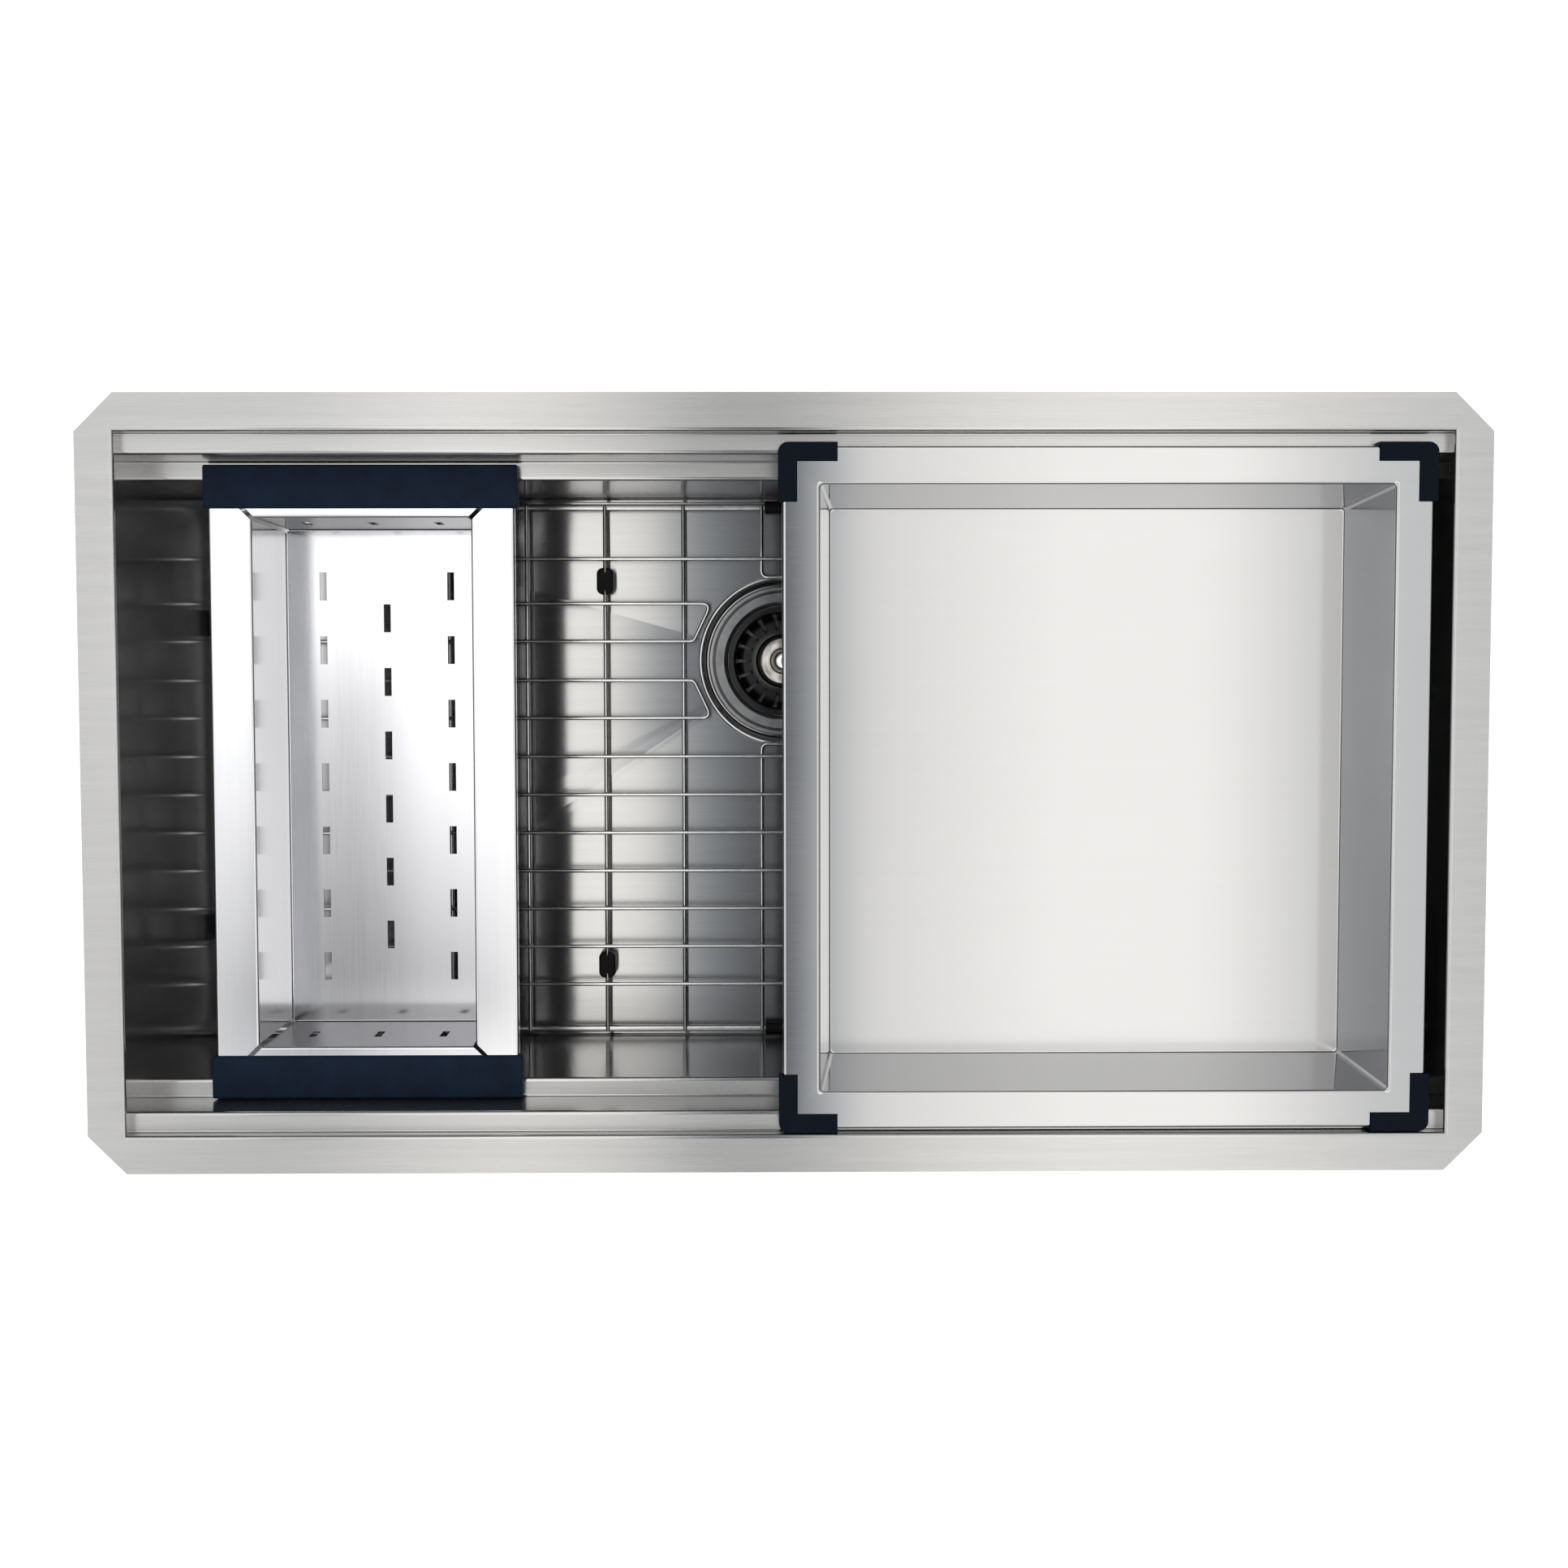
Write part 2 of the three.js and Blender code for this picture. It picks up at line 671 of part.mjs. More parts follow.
function strainerBody() {
  const lip = Array.from({ length: 5 }, (_, k) => {
    const angle = (Math.PI / 2) * (k / 4);
    return [
      strainerThroatRadius + strainerLipRadius * (1 - Math.sin(angle)),
      zStrainer - strainerLipRadius * (1 - Math.cos(angle)),
    ];
  });
  const outsideCup = cupRadius + strainerWall + 3;
  const profile = [
    [strainerFlangeRadius, zStrainer - strainerFlangeThickness],
    [strainerFlangeRadius, zStrainer - 0.8],
    [strainerFlangeRadius - 0.9, zStrainer - 0.1],
    ...lip,
    [strainerThroatRadius, zSeat],
    [cupRadius, zSeat],
    [cupRadius, zCup + 5],
    [cupRadius - 1.5, zCup + 1.5],
    [cupRadius - 5, zCup],
    [outletRadius + 2, zCup - 1],
    [outletRadius, zCup - 3],
    [outletRadius, zOutlet],
    [outletOuter, zOutlet],
    [outletOuter, zCup - 6],
    [outsideCup - 6, zCup - strainerWall - 1],
    [outsideCup, zCup + 3],
    [throatOuter, zSeat - 6],
    [throatOuter, zStrainer - strainerFlangeThickness],
  ];
  return turned(profile, drainX, drainY, 30);
}

function flatRing(inner, outer, bottom, top, segments = 28) {
  const profile = [[inner, bottom], [outer, bottom], [outer, top], [inner, top]];
  return turned(profile, drainX, drainY, segments);
}

// A ring with lugs or ribs round its rim, for turning it by hand or with a spanner.
function luggedOutline(radius, lug, count, share) {
  const points = [];
  for (let i = 0; i < count; i++) {
    const from = (i / count) * 2 * Math.PI;
    const step = (2 * Math.PI) / count;
    const stops = [[0, radius + lug], [share, radius + lug], [share + 0.08, radius], [0.92, radius]];
    for (const [at, r] of stops) {
      const angle = from + at * step;
      points.push(new THREE.Vector2(r * Math.cos(angle), r * Math.sin(angle)));
    }
  }
  return points;
}

function roundHole(radius) {
  return new THREE.Path().absarc(0, 0, radius, 0, 2 * Math.PI, true);
}

function lockNut(bottom) {
  const shape = new THREE.Shape(luggedOutline(lockNutRadius, lockNutLug, lockNutLugs, 0.3));
  const collar = slab(shape, bottom, bottom + lockNutThickness, drainX, drainY);
  const bore = turned(
    [[0, bottom - 1], [throatOuter + fit, bottom - 1],
      [throatOuter + fit, bottom + lockNutThickness + 1], [0, bottom + lockNutThickness + 1]],
    drainX, drainY, 32,
  );
  return collar.subtract(bore);
}

function couplingNut(lipTop) {
  const inner = outletOuter + fit;
  const outer = inner + couplingNutWall;
  const lip = 3;
  const top = lipTop + couplingNutThread;
  const shape = new THREE.Shape(luggedOutline(outer - 1.2, 1.2, couplingNutRibs, 0.42));
  const body = slab(shape, lipTop - lip, top, drainX, drainY);
  const bore = turned(
    [[0, lipTop - lip - 1], [tailpieceRadius + fit, lipTop - lip - 1],
      [tailpieceRadius + fit, lipTop], [inner, lipTop], [inner, top + 1], [0, top + 1]],
    drainX, drainY, 32,
  );
  return body.subtract(bore);
}

function addDrain() {
  addPiece(sinkGroup, "strainer_body", strainerBody(), castSteel);
  const puttyRing = flatRing(
    drainHoleRadius + fit, strainerFlangeRadius - 1.5, zRecess, zRecess + puttyThickness, 32);
  addPiece(sinkGroup, "flange_putty_ring", puttyRing, putty);
  let z = zUnder;
  const washer = flatRing(throatOuter + fit, lockNutRadius + 3, z - rubberWasherThickness, z);
  addPiece(sinkGroup, "drain_rubber_washer", washer, blackRubber);
  z -= rubberWasherThickness;
  const friction = flatRing(throatOuter + fit, lockNutRadius + 3, z - frictionRingThickness, z);
  addPiece(sinkGroup, "drain_friction_ring", friction, fibre);
  z -= frictionRingThickness + lockNutThickness;
  addPiece(sinkGroup, "drain_lock_nut", lockNut(z), greyPlastic);

  const washerBottom = zOutlet - tailpieceWasherThickness;
  const tailWasher = flatRing(outletRadius + 0.5, outletOuter - 0.5, washerBottom, zOutlet, 28);
  addPiece(sinkGroup, "tailpiece_washer", tailWasher, greyPlastic);
  const lipBottom = washerBottom - tailpieceWall;
  const bore = tailpieceRadius - tailpieceWall;
  const tail = turned(
    [[bore, washerBottom], [bore, lipBottom - tailpieceLength],
      [tailpieceRadius, lipBottom - tailpieceLength], [tailpieceRadius, lipBottom],
      [tailpieceRadius + tailpieceLip, lipBottom], [tailpieceRadius + tailpieceLip, washerBottom]],
    drainX, drainY, 28,
  );
  addPiece(sinkGroup, "tailpiece", tail, polished);
  addPiece(sinkGroup, "coupling_nut", couplingNut(lipBottom), greyPlastic);
}

addDrain();

// ---------------------------------------------------------------- strainer basket

const basketRimRadius = strainerThroatRadius - 1;
const zBasketRim = zSeat + basketSheet + fit;
const zBasketFloor = zBasketRim - basketDepth;
const zDomeTop = zBasketFloor + basketDomeRise;
const zDish = zDomeTop - basketDish;

function basketCup() {
  const t = basketSheet;
  const postHole = postRadius + fit;
  const wallTop = cupRadius - 1.2;
  const crest = (basketDomeRadius + basketDishRadius) / 2;
  const profile = [
    [basketRimRadius, zBasketRim - t],
    [basketRimRadius, zBasketRim],
    [wallTop - t - 1, zBasketRim],
    [wallTop - t - 1.6, zBasketRim - 1.2],
    [basketFloorRadius, zBasketFloor + 2.2],
    [basketFloorRadius - 2.2, zBasketFloor],
    [basketDomeRadius + 1, zBasketFloor],
    [basketDomeRadius - 1, zBasketFloor + basketDomeRise * 0.5],
    [crest + 2.4, zDomeTop - 0.8],
    [crest, zDomeTop],
    [basketDishRadius + 2, zDish + 1.4],
    [basketDishRadius, zDish],
    [postHole, zDish],
    [postHole, zDish - t],
    [basketDishRadius + 1, zDish - t],
    [crest, zDomeTop - t * 1.2],
    [basketDomeRadius - 2.2, zBasketFloor + basketDomeRise * 0.5 - t],
    [basketDomeRadius, zBasketFloor - t],
    [basketFloorRadius - 1.8, zBasketFloor - t],
    [basketFloorRadius + t, zBasketFloor + 1.8],
    [wallTop - 0.4, zBasketRim - t - 1],
    [wallTop, zBasketRim - t],
  ];
  const cup = turned(profile, drainX, drainY, 28);
  const tools = [];
  const slotInner = basketDomeRadius + 5;
  const slotOuter = basketFloorRadius + 6;
  const slotTop = zBasketFloor + basketDepth * 0.42;
  for (let i = 0; i < basketSlots; i++) {
    const angle = (i / basketSlots) * 2 * Math.PI;
    const tool = new THREE.BoxGeometry(slotOuter - slotInner, basketSlotWidth, basketDepth * 0.6);
    tool.translate((slotOuter + slotInner) / 2, 0, slotTop - basketDepth * 0.3);
    tool.rotateZ(angle);
    tool.translate(drainX, drainY, 0);
    tools.push(toSolid(tool));
  }
  return cut(cup, tools);
}

function addBasket() {
  addPiece(basketGroup, "basket_cup", basketCup(), polished);
  const stopperTop = zBasketFloor - stopperDrop;
  const bottom = stopperTop - stopperThickness;
  const stopper = turned(
    [[postRadius + fit, stopperTop], [stopperRadius - 5, stopperTop], [stopperRadius, stopperTop - 1.5],
      [stopperRadius, bottom + 1], [stopperRadius - 2, bottom], [postRadius + fit, bottom]],
    drainX, drainY, 20,
  );
  addPiece(basketGroup, "basket_stopper", stopper, blackRubber);
  const zKnob = zDish + 3;
  const post = turned(
    [[0, bottom - 2.5], [postRadius + 2, bottom - 2.5], [postRadius + 2, bottom - fit],
      [postRadius, bottom - fit], [postRadius, stopperTop + fit], [postRadius + 1.5, stopperTop + fit],
      [postRadius + 1.5, stopperTop + fit + 1.5], [postRadius, stopperTop + fit + 1.5],
      [postRadius, zDish + fit], [postRadius + 4, zDish + fit], [postRadius + 3, zKnob - 1],
      [postRadius, zKnob - fit], [0, zKnob - fit]],
    drainX, drainY, 16,
  );
  addPiece(basketGroup, "basket_post", post, polished);
  const knob = turned(
    [[0, zKnob], [knobRadius * 0.55, zKnob], [knobRadius * 0.5, zKnob + 0.3 * knobHeight],
      [knobRadius * 0.95, zKnob + 0.5 * knobHeight], [knobRadius, zKnob + 0.68 * knobHeight],
      [knobRadius * 0.85, zKnob + 0.9 * knobHeight], [knobRadius * 0.5, zKnob + knobHeight],
      [0, zKnob + knobHeight]],
    drainX, drainY, 24,
  );
  addPiece(basketGroup, "basket_knob", knob, polished);
}

addBasket();

// ---------------------------------------------------------------- bottom grid

const zFrame = -floorDrop + gridStandoff + frameWire / 2;
const zCross = zFrame + (frameWire + gridWire) / 2 - weldBite;
const zLong = zCross + gridWire + fit;
const longEndX = gridHalfLength + gridWire / 2;
const crossEnd = gridHalfWidth + gridWire / 2;
const crossX = (k) => drainX + loopHalfWidth + crossWirePitch * k;
const rearLongWireY = gridCentreY + gridHalfWidth - rearLongWireGap;

// The closed frame with the cross wires welded on top of it, and the two loops that stop at
// the drain ring.
function gridFrame() {
  const loop = roundedRectangle(gridHalfLength, gridHalfWidth, gridCornerRadius, 4);
  const frame = wire(loop.map((p) => [p.x, p.y + gridCentreY, zFrame]), frameWire, {
    closed: true,
    sides: 8,
  });
  const wires = [];
  for (let k = 1; k <= crossWiresEachSide; k++) {
    for (const side of [-1, 1]) {
      const x = drainX + side * (crossX(k) - drainX);
      wires.push(
        wire([[x, gridCentreY - crossEnd, zCross], [x, gridCentreY + crossEnd, zCross]], gridWire),
      );
    }
  }
  for (const side of [-1, 1]) {
    const far = gridCentreY + side * crossEnd;
    const near = drainY + side * (ringRadius + 0.6);
    wires.push(
      wire(
        roundedPath(
          [
            [drainX - loopHalfWidth, far, zCross],
            [drainX - loopHalfWidth, near, zCross],
            [drainX + loopHalfWidth, near, zCross],
            [drainX + loopHalfWidth, far, zCross],
          ],
          wireBend,
        ),
        gridWire,
      ),
    );
  }
  return join([frame, ...wires]);
}

// A ring of wire round the drain, under the loops.
function drainRing() {
  const steps = 32;
  const z = zCross - (gridWire + ringWire) / 2 - fit;
  const points = Array.from({ length: steps }, (_, i) => {
    const angle = (i / steps) * 2 * Math.PI;
    return [drainX + ringRadius * Math.cos(angle), drainY + ringRadius * Math.sin(angle), z];
  });
  return wire(points, ringWire, { closed: true });
}

const zLongEnd = zFrame + (frameWire + gridWire) / 2 + fit;

// A long wire crosses the whole grid and dips at both ends to sit on the frame.
function longWire(y) {
  const bend = longEndX - frameWire - wireDip;
  return wire(
    [
      [-longEndX, y, zLongEnd],
      [-longEndX + frameWire, y, zLongEnd],
      [-bend, y, zLong],
      [bend, y, zLong],
      [longEndX - frameWire, y, zLongEnd],
      [longEndX, y, zLongEnd],
    ],
    gridWire,
  );
}

// Two long wires made from one, bent back where it meets the ring.
function hairpin(sideX, nearOffset, farOffset) {
  const tip = (offset) => drainX + sideX * Math.sqrt(hairpinRadius ** 2 - offset ** 2);
  const bend = longEndX - frameWire - wireDip;
  const end = (offset) => [
    [sideX * longEndX, drainY + offset, zLongEnd],
    [sideX * (longEndX - frameWire), drainY + offset, zLongEnd],
    [sideX * bend, drainY + offset, zLong],
  ];
  const turn = roundedPath(
    [
      end(nearOffset)[2],
      [tip(nearOffset), drainY + nearOffset, zLong],
      [tip(farOffset), drainY + farOffset, zLong],
      end(farOffset)[2],
    ],
    wireBend,
  );
  const path = [...end(nearOffset).slice(0, 2), ...turn, ...end(farOffset).slice(0, 2).toReversed()];
  return wire(path, gridWire);
}

function addGrid() {
  addPiece(gridGroup, "grid_frame", gridFrame(), polished);
  addPiece(gridGroup, "grid_drain_ring", drainRing(), polished);
  const half = longWirePitch / 2;
  for (let i = 0; i < longWiresInFront; i++) {
    const y = drainY - half - longWirePitch * (i + 2);
    addPiece(gridGroup, "grid_long_wire_" + (i + 1), longWire(y), polished);
  }
  addPiece(gridGroup, "grid_long_wire_rear", longWire(rearLongWireY), polished);
  for (const [sideName, sideX] of [["left", -1], ["right", 1]]) {
    for (const [placeName, sideY] of [["rear", 1], ["front", -1]]) {
      const pin = hairpin(sideX, sideY * half, sideY * (half + longWirePitch));
      addPiece(gridGroup, "grid_hairpin_" + placeName + "_" + sideName, pin, polished);
    }
  }
}

// A rubber foot pushed onto a cross wire from below.
function gridFoot(x, y) {
  const top = zCross + gridWire / 2 + footHeightAboveWire;
  const under = [-1, 1].flatMap((sx) =>
    [-1, 1].map((sy) => floorHeight(x + (sx * footWidth) / 2, y + (sy * footLength) / 2)));
  const bottom = Math.max(...under) + fit;
  const outline = roundedRectangle(footWidth / 2, footLength / 2, footWidth * 0.36, 3);
  const waist = roundedRectangle(footWidth / 2 - 0.8, footLength / 2 - 0.8, footWidth * 0.32, 3);
  const ring = (points, z) => points.map((p) => new THREE.Vector3(x + p.x, y + p.y, z));
  const body = ringSkin(
    [ring(waist, bottom), ring(outline, bottom + 1.2), ring(outline, top - 1.2), ring(waist, top)],
    false,
  );
  const groove = prism(
    roundedRectangle(gridWire / 2 + fit, gridWire / 2 + fit, gridWire / 2, 2),
    footLength + 4, ALONG_Y, [x, y, zCross],
  );
  const slitDepth = zCross - bottom + 1;
  const slit = box(0.8, footLength + 4, slitDepth, [x, y, zCross - slitDepth / 2]);
  return cut(body, [groove, slit]);
}

// A rubber sleeve round the frame wire that keeps the grid off the wall.
function bumper(x, y, length, alongY) {
  const inner = frameWire / 2 + fit;
  const outer = inner + bumperWall;
  const half = length / 2;
  const profile = [
    [inner, -half], [outer - 0.8, -half], [outer, -half + 0.8],
    [outer, half - 0.8], [outer - 0.8, half], [inner, half],
  ].map(([r, z]) => new THREE.Vector2(r, z));
  profile.push(profile[0].clone());
  const geometry = new THREE.LatheGeometry(profile, 12);
  if (!alongY) geometry.rotateZ(Math.PI / 2);
  geometry.translate(x, y, zFrame);
  return toSolid(geometry);
}

function addGridRubber() {
  const x = crossX(footWireIndex) - drainX;
  const frontFootY = drainY - longWirePitch * (longWiresInFront + 1);
  const rearFootY = (drainY + 1.5 * longWirePitch + rearLongWireY) / 2;
  for (const [sideName, sideX] of [["left", -1], ["right", 1]]) {
    for (const [placeName, sideY] of [["rear", 1], ["front", -1]]) {
      const foot = gridFoot(drainX + sideX * x, sideY > 0 ? rearFootY : frontFootY);
      addPiece(gridGroup, "grid_foot_" + placeName + "_" + sideName, foot, blackRubber);
      const y = drainY + longWirePitch * sideBumperPitches[sideY > 0 ? 0 : 1];
      const sleeve = bumper(sideX * gridHalfLength, y, sideBumperLength, true);
      addPiece(gridGroup, "grid_bumper_" + sideName + "_" + placeName, sleeve, blackRubber);
    }
  }
  for (const [placeName, sideY] of [["rear", 1], ["front", -1]]) {
    const sleeve = bumper(drainX, gridCentreY + sideY * gridHalfWidth, middleBumperLength, false);
    addPiece(gridGroup, "grid_bumper_" + placeName, sleeve, blackRubber);
  }
}

addGrid();
addGridRubber();

// ---------------------------------------------------------------- colander

// The rim's folded edge stands on the grip's foot, which lies on the lower ledge.
const zColander = -lowerLedgeDrop + gripFoot + fit + rimReturn; // rim top

// One direction of the folded pan: rim, wall, floor, wall and rim.
function panStrip(halfOpening, rimWidth, depth, lean, thickness) {
  const outer = halfOpening + rimWidth;
  const points = [
    [-outer, -rimReturn],
    [-outer, 0],
    [-halfOpening, 0],
    [-halfOpening + lean, -depth],
    [halfOpening - lean, -depth],
    [halfOpening, 0],
    [outer, 0],
    [outer, -rimReturn],
  ].reverse();
  return sheetOutline(foldedSheet(points, thickness, foldRadius, 2));
}

// Keeps one direction's walls and rims inside the 45 degree lines, less half of the slit.
function cornerTrim(ownX) {
  const gap = (cornerSlit / 2) * Math.SQRT2;
  const tools = [];
  for (const sx of [-1, 1]) {
    for (const sy of [-1, 1]) {
      const cx = colanderHalfWidth + (ownX ? gap : 0);
      const cy = colanderHalfLength + (ownX ? 0 : gap);
      const points = ownX
        ? [[cx + BIG, cy + BIG], [-1, cy + BIG], [-1, cy - cx - 1]]
        : [[cx + BIG, cy + BIG], [cx + BIG, -1], [cx - cy - 1, -1]];
      const outline = points.map(([x, y]) => new THREE.Vector2(sx * x, sy * y));
      tools.push(slab(outline, -colanderDepth - 10, 10));
    }
  }
  return tools;
}

function colanderPan() {
  const t = colanderSheet;
  const sideStrip = prism(
    panStrip(colanderHalfWidth, colanderSideRim, colanderDepth, colanderLean, t),
    2 * (colanderHalfLength + colanderEndRim), ALONG_Y);
  const endStrip = prism(
    panStrip(colanderHalfLength, colanderEndRim, colanderDepth, colanderLean, t),
    2 * (colanderHalfWidth + colanderSideRim), ALONG_X);
  const inset = colanderLean + foldRadius;
  const floor = box(
    2 * (colanderHalfWidth - inset), 2 * (colanderHalfLength - inset), t,
    [0, 0, -colanderDepth - t / 2]);
  const pan = join([cut(sideStrip, cornerTrim(true)), cut(endStrip, cornerTrim(false)), floor]);
  const tools = [];
  for (let column = -1; column <= 1; column++) {
    const rows = column === 0 ? slotRows - 1 : slotRows;
    for (let row = 0; row < rows; row++) {
      const y = (row - (rows - 1) / 2) * slotPitch;
      tools.push(box(slotWidth, slotLength, 4 * t, [column * slotPitch, y, -colanderDepth - t / 2]));
    }
    for (const side of [-1, 1]) {
      const y = side * (colanderHalfLength - colanderLean / 2);
      const z = -endSlotDrop - endSlotLength / 2;
      tools.push(box(slotWidth, 6 * t, endSlotLength, [column * slotPitch, y, z]));
    }
  }
  return cut(pan, tools).translate([colanderX, colanderY, zColander]);
}

// A silicone boot over one end rim: open underneath, closed at both ends.
function colanderGrip() {
  const rim = colanderHalfLength + colanderEndRim;
  const outer = rim + gripOuter;
  const inner = colanderHalfLength + gripInset;
  const round = 2;
  const footTop = -rimReturn - fit;
  const bottom = footTop - gripFoot;
  const arc = (cx, cy, from, to, r) =>
    Array.from({ length: 4 }, (_, k) => {
      const angle = from + ((to - from) * k) / 3;
      return new THREE.Vector2(cx + r * Math.cos(angle), cy + r * Math.sin(angle));
    });
  const skin = [
    new THREE.Vector2(inner, fit),
    new THREE.Vector2(inner, fit + 0.6),
    new THREE.Vector2(inner + gripBevel * 0.35, gripTop * 0.75),
    new THREE.Vector2(inner + gripBevel, gripTop),
    ...arc(outer - round, gripTop - round, Math.PI / 2, 0, round),
    ...arc(outer - 1, bottom + 1, 0, -Math.PI / 2, 1),
  ];
  const lip = rim - 8;
  const hollow = [
    new THREE.Vector2(lip, bottom),
    new THREE.Vector2(lip, footTop),
    new THREE.Vector2(rim + fit, footTop),
    new THREE.Vector2(rim + fit, fit),
  ];
  const halfX = colanderHalfWidth + colanderSideRim + fit;
  const sleeve = prism([...skin, ...hollow].reverse(), 2 * halfX, ALONG_X);
  const cap = [...skin, new THREE.Vector2(inner + 10, bottom), new THREE.Vector2(inner, footTop)].reverse();
  const caps = [-1, 1].map((side) =>
    prism(cap, gripWall, ALONG_X, [side * (halfX + gripWall / 2), 0, 0]));
  return join([sleeve, ...caps]);
}

const grip = colanderGrip();
addPiece(colanderGroup, "colander_pan", colanderPan(), brushed);
for (const [name, turn] of [["colander_grip_rear", 0], ["colander_grip_front", Math.PI]]) {
  const mesh = addPiece(colanderGroup, name, grip, silicone);
  mesh.rotation.z = turn;
  mesh.position.set(colanderX, colanderY, zColander);
}

// ---------------------------------------------------------------- tray

const zTray = -upperLedgeDrop + guardFoot + fit + trayReturn; // rim top

// The tray is one welded pan: a folded rim, walls that lean in and a flat bottom.
function trayPan() {
  const t = traySheet;
  const outerFold = foldRadius + t;
  const ring = (inset, radius, z) =>
    roundedRectangle(trayHalfLength - inset, trayHalfWidth - inset, Math.max(radius, 0.4), 3).map(
      (p) => new THREE.Vector3(trayX + p.x, trayY + p.y, zTray + z),
    );
  const opening = trayRim;
  const foot = trayRim + trayLean;
  const section = foldedSheet(
    [
      [0, -trayReturn],
      [0, 0],
      [opening, 0],
      [foot, -trayDepth],
      [foot + trayFloorMargin, -trayDepth],
    ],
    -t, foldRadius, 3,
  );
  const radiusAt = (inset) => {
    const share = Math.min(1, inset / opening);
    return trayCornerRadius + (trayInnerRadius - trayCornerRadius) * share;
  };
  const faceRings = section.face.map((p) => ring(p.x, radiusAt(p.x), p.y));
  const backRings = section.back.map((p) => ring(p.x, radiusAt(p.x) + (p.x > outerFold ? t : -t), p.y));
  const walls = ringSkin([...faceRings.toReversed(), ...backRings], true);
  const inset = foot + trayFloorMargin / 2;
  const floor = box(
    2 * (trayHalfLength - inset), 2 * (trayHalfWidth - inset), t,
    [trayX, trayY, zTray - trayDepth - t / 2]);
  return walls.add(floor);
}

// A silicone corner guard clipped round the rim: an L over it, outside it and under it.
function cornerGuard(signX, signY) {
  const cornerX = trayHalfLength + guardOuter;
  const cornerY = trayHalfWidth + guardOuter;
  const radius = trayCornerRadius + 1.5;
  const plan = (inset, z) => {
    const arc = Array.from({ length: 5 }, (_, k) => {
      const angle = (Math.PI / 2) * (k / 4);
      const reach = radius - inset;
      return [cornerX - radius + reach * Math.cos(angle), cornerY - radius + reach * Math.sin(angle)];
    });
    return [
      [cornerX - guardWidth, cornerY - guardWidth],
      [cornerX - guardWidth, cornerY - guardArm],
      [cornerX - inset, cornerY - guardArm],
      ...arc,
      [cornerX - guardArm, cornerY - inset],
      [cornerX - guardArm, cornerY - guardWidth],
    ].map(([x, y]) => new THREE.Vector3(signX * x, signY * y, z));
  };
  const top = fit + guardTop;
  const bottom = -trayReturn - fit - guardFoot;
  const block = ringSkin(
    [
      plan(guardRound, bottom),
      plan(0, bottom + guardRound),
      plan(0, top - guardRound),
      plan(guardRound, top),
    ],
    false,
  );
  const cavity = slab(
    roundedRectangle(trayHalfLength + fit, trayHalfWidth + fit, trayCornerRadius + fit, 4),
    -trayReturn - fit, fit,
  );
  return block.subtract(cavity).translate([trayX, trayY, zTray]);
}

addPiece(trayGroup, "tray_pan", trayPan(), brushed);
for (const [sideName, signX] of [["left", -1], ["right", 1]]) {
  for (const [placeName, signY] of [["rear", 1], ["front", -1]]) {
    addPiece(trayGroup, "tray_guard_" + placeName + "_" + sideName, cornerGuard(signX, signY), silicone);
  }
}

// ---------------------------------------------------------------- the whole sink

const sink = new THREE.Group();
sink.add(sinkGroup, basketGroup, gridGroup, colanderGroup, trayGroup);

export default sink;
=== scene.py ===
"""Workstation kitchen sink on a pale studio floor. +Z is up and the flange's top is at zero."""

import json
from math import asin, atan2, copysign, cos, pi, radians, sin, sqrt, tan

import bmesh
import bpy
from mathutils import Matrix, Vector

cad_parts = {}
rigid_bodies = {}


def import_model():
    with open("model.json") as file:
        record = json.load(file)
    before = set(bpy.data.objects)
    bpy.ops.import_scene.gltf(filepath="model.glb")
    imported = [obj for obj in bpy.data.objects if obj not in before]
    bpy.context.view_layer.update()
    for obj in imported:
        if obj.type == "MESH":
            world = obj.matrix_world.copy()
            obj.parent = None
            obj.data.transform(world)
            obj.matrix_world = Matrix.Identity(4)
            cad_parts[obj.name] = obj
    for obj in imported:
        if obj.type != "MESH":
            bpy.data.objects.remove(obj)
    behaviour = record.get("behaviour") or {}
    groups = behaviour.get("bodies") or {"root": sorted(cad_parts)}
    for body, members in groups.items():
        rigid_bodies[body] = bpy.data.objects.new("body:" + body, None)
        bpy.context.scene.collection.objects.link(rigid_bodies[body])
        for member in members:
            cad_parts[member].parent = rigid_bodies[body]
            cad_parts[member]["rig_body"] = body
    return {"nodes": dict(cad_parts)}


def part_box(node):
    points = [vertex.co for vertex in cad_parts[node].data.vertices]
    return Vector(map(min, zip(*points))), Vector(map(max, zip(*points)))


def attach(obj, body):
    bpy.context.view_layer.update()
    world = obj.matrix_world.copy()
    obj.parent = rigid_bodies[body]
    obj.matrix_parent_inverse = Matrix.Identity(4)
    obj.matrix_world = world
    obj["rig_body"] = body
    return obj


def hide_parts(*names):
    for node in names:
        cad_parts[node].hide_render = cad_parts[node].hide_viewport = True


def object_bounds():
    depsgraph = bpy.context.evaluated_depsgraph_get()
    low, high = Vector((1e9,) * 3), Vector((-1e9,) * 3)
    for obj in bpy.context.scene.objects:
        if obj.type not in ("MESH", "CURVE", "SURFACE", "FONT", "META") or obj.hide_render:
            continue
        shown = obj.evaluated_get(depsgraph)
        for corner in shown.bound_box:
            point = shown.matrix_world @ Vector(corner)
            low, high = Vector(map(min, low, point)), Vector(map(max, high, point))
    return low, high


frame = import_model()
cad_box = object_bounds()
scene = bpy.context.scene

MM = 0.001
PHOTO_SIZE = 1932  # pixels, both ways


def new_object(name, data):
    thing = bpy.data.objects.new(name, data)
    scene.collection.objects.link(thing)
    return thing


def assign(thing, **values):
    for key, value in values.items():
        setattr(thing, key, value)
    return thing


# ---- camera

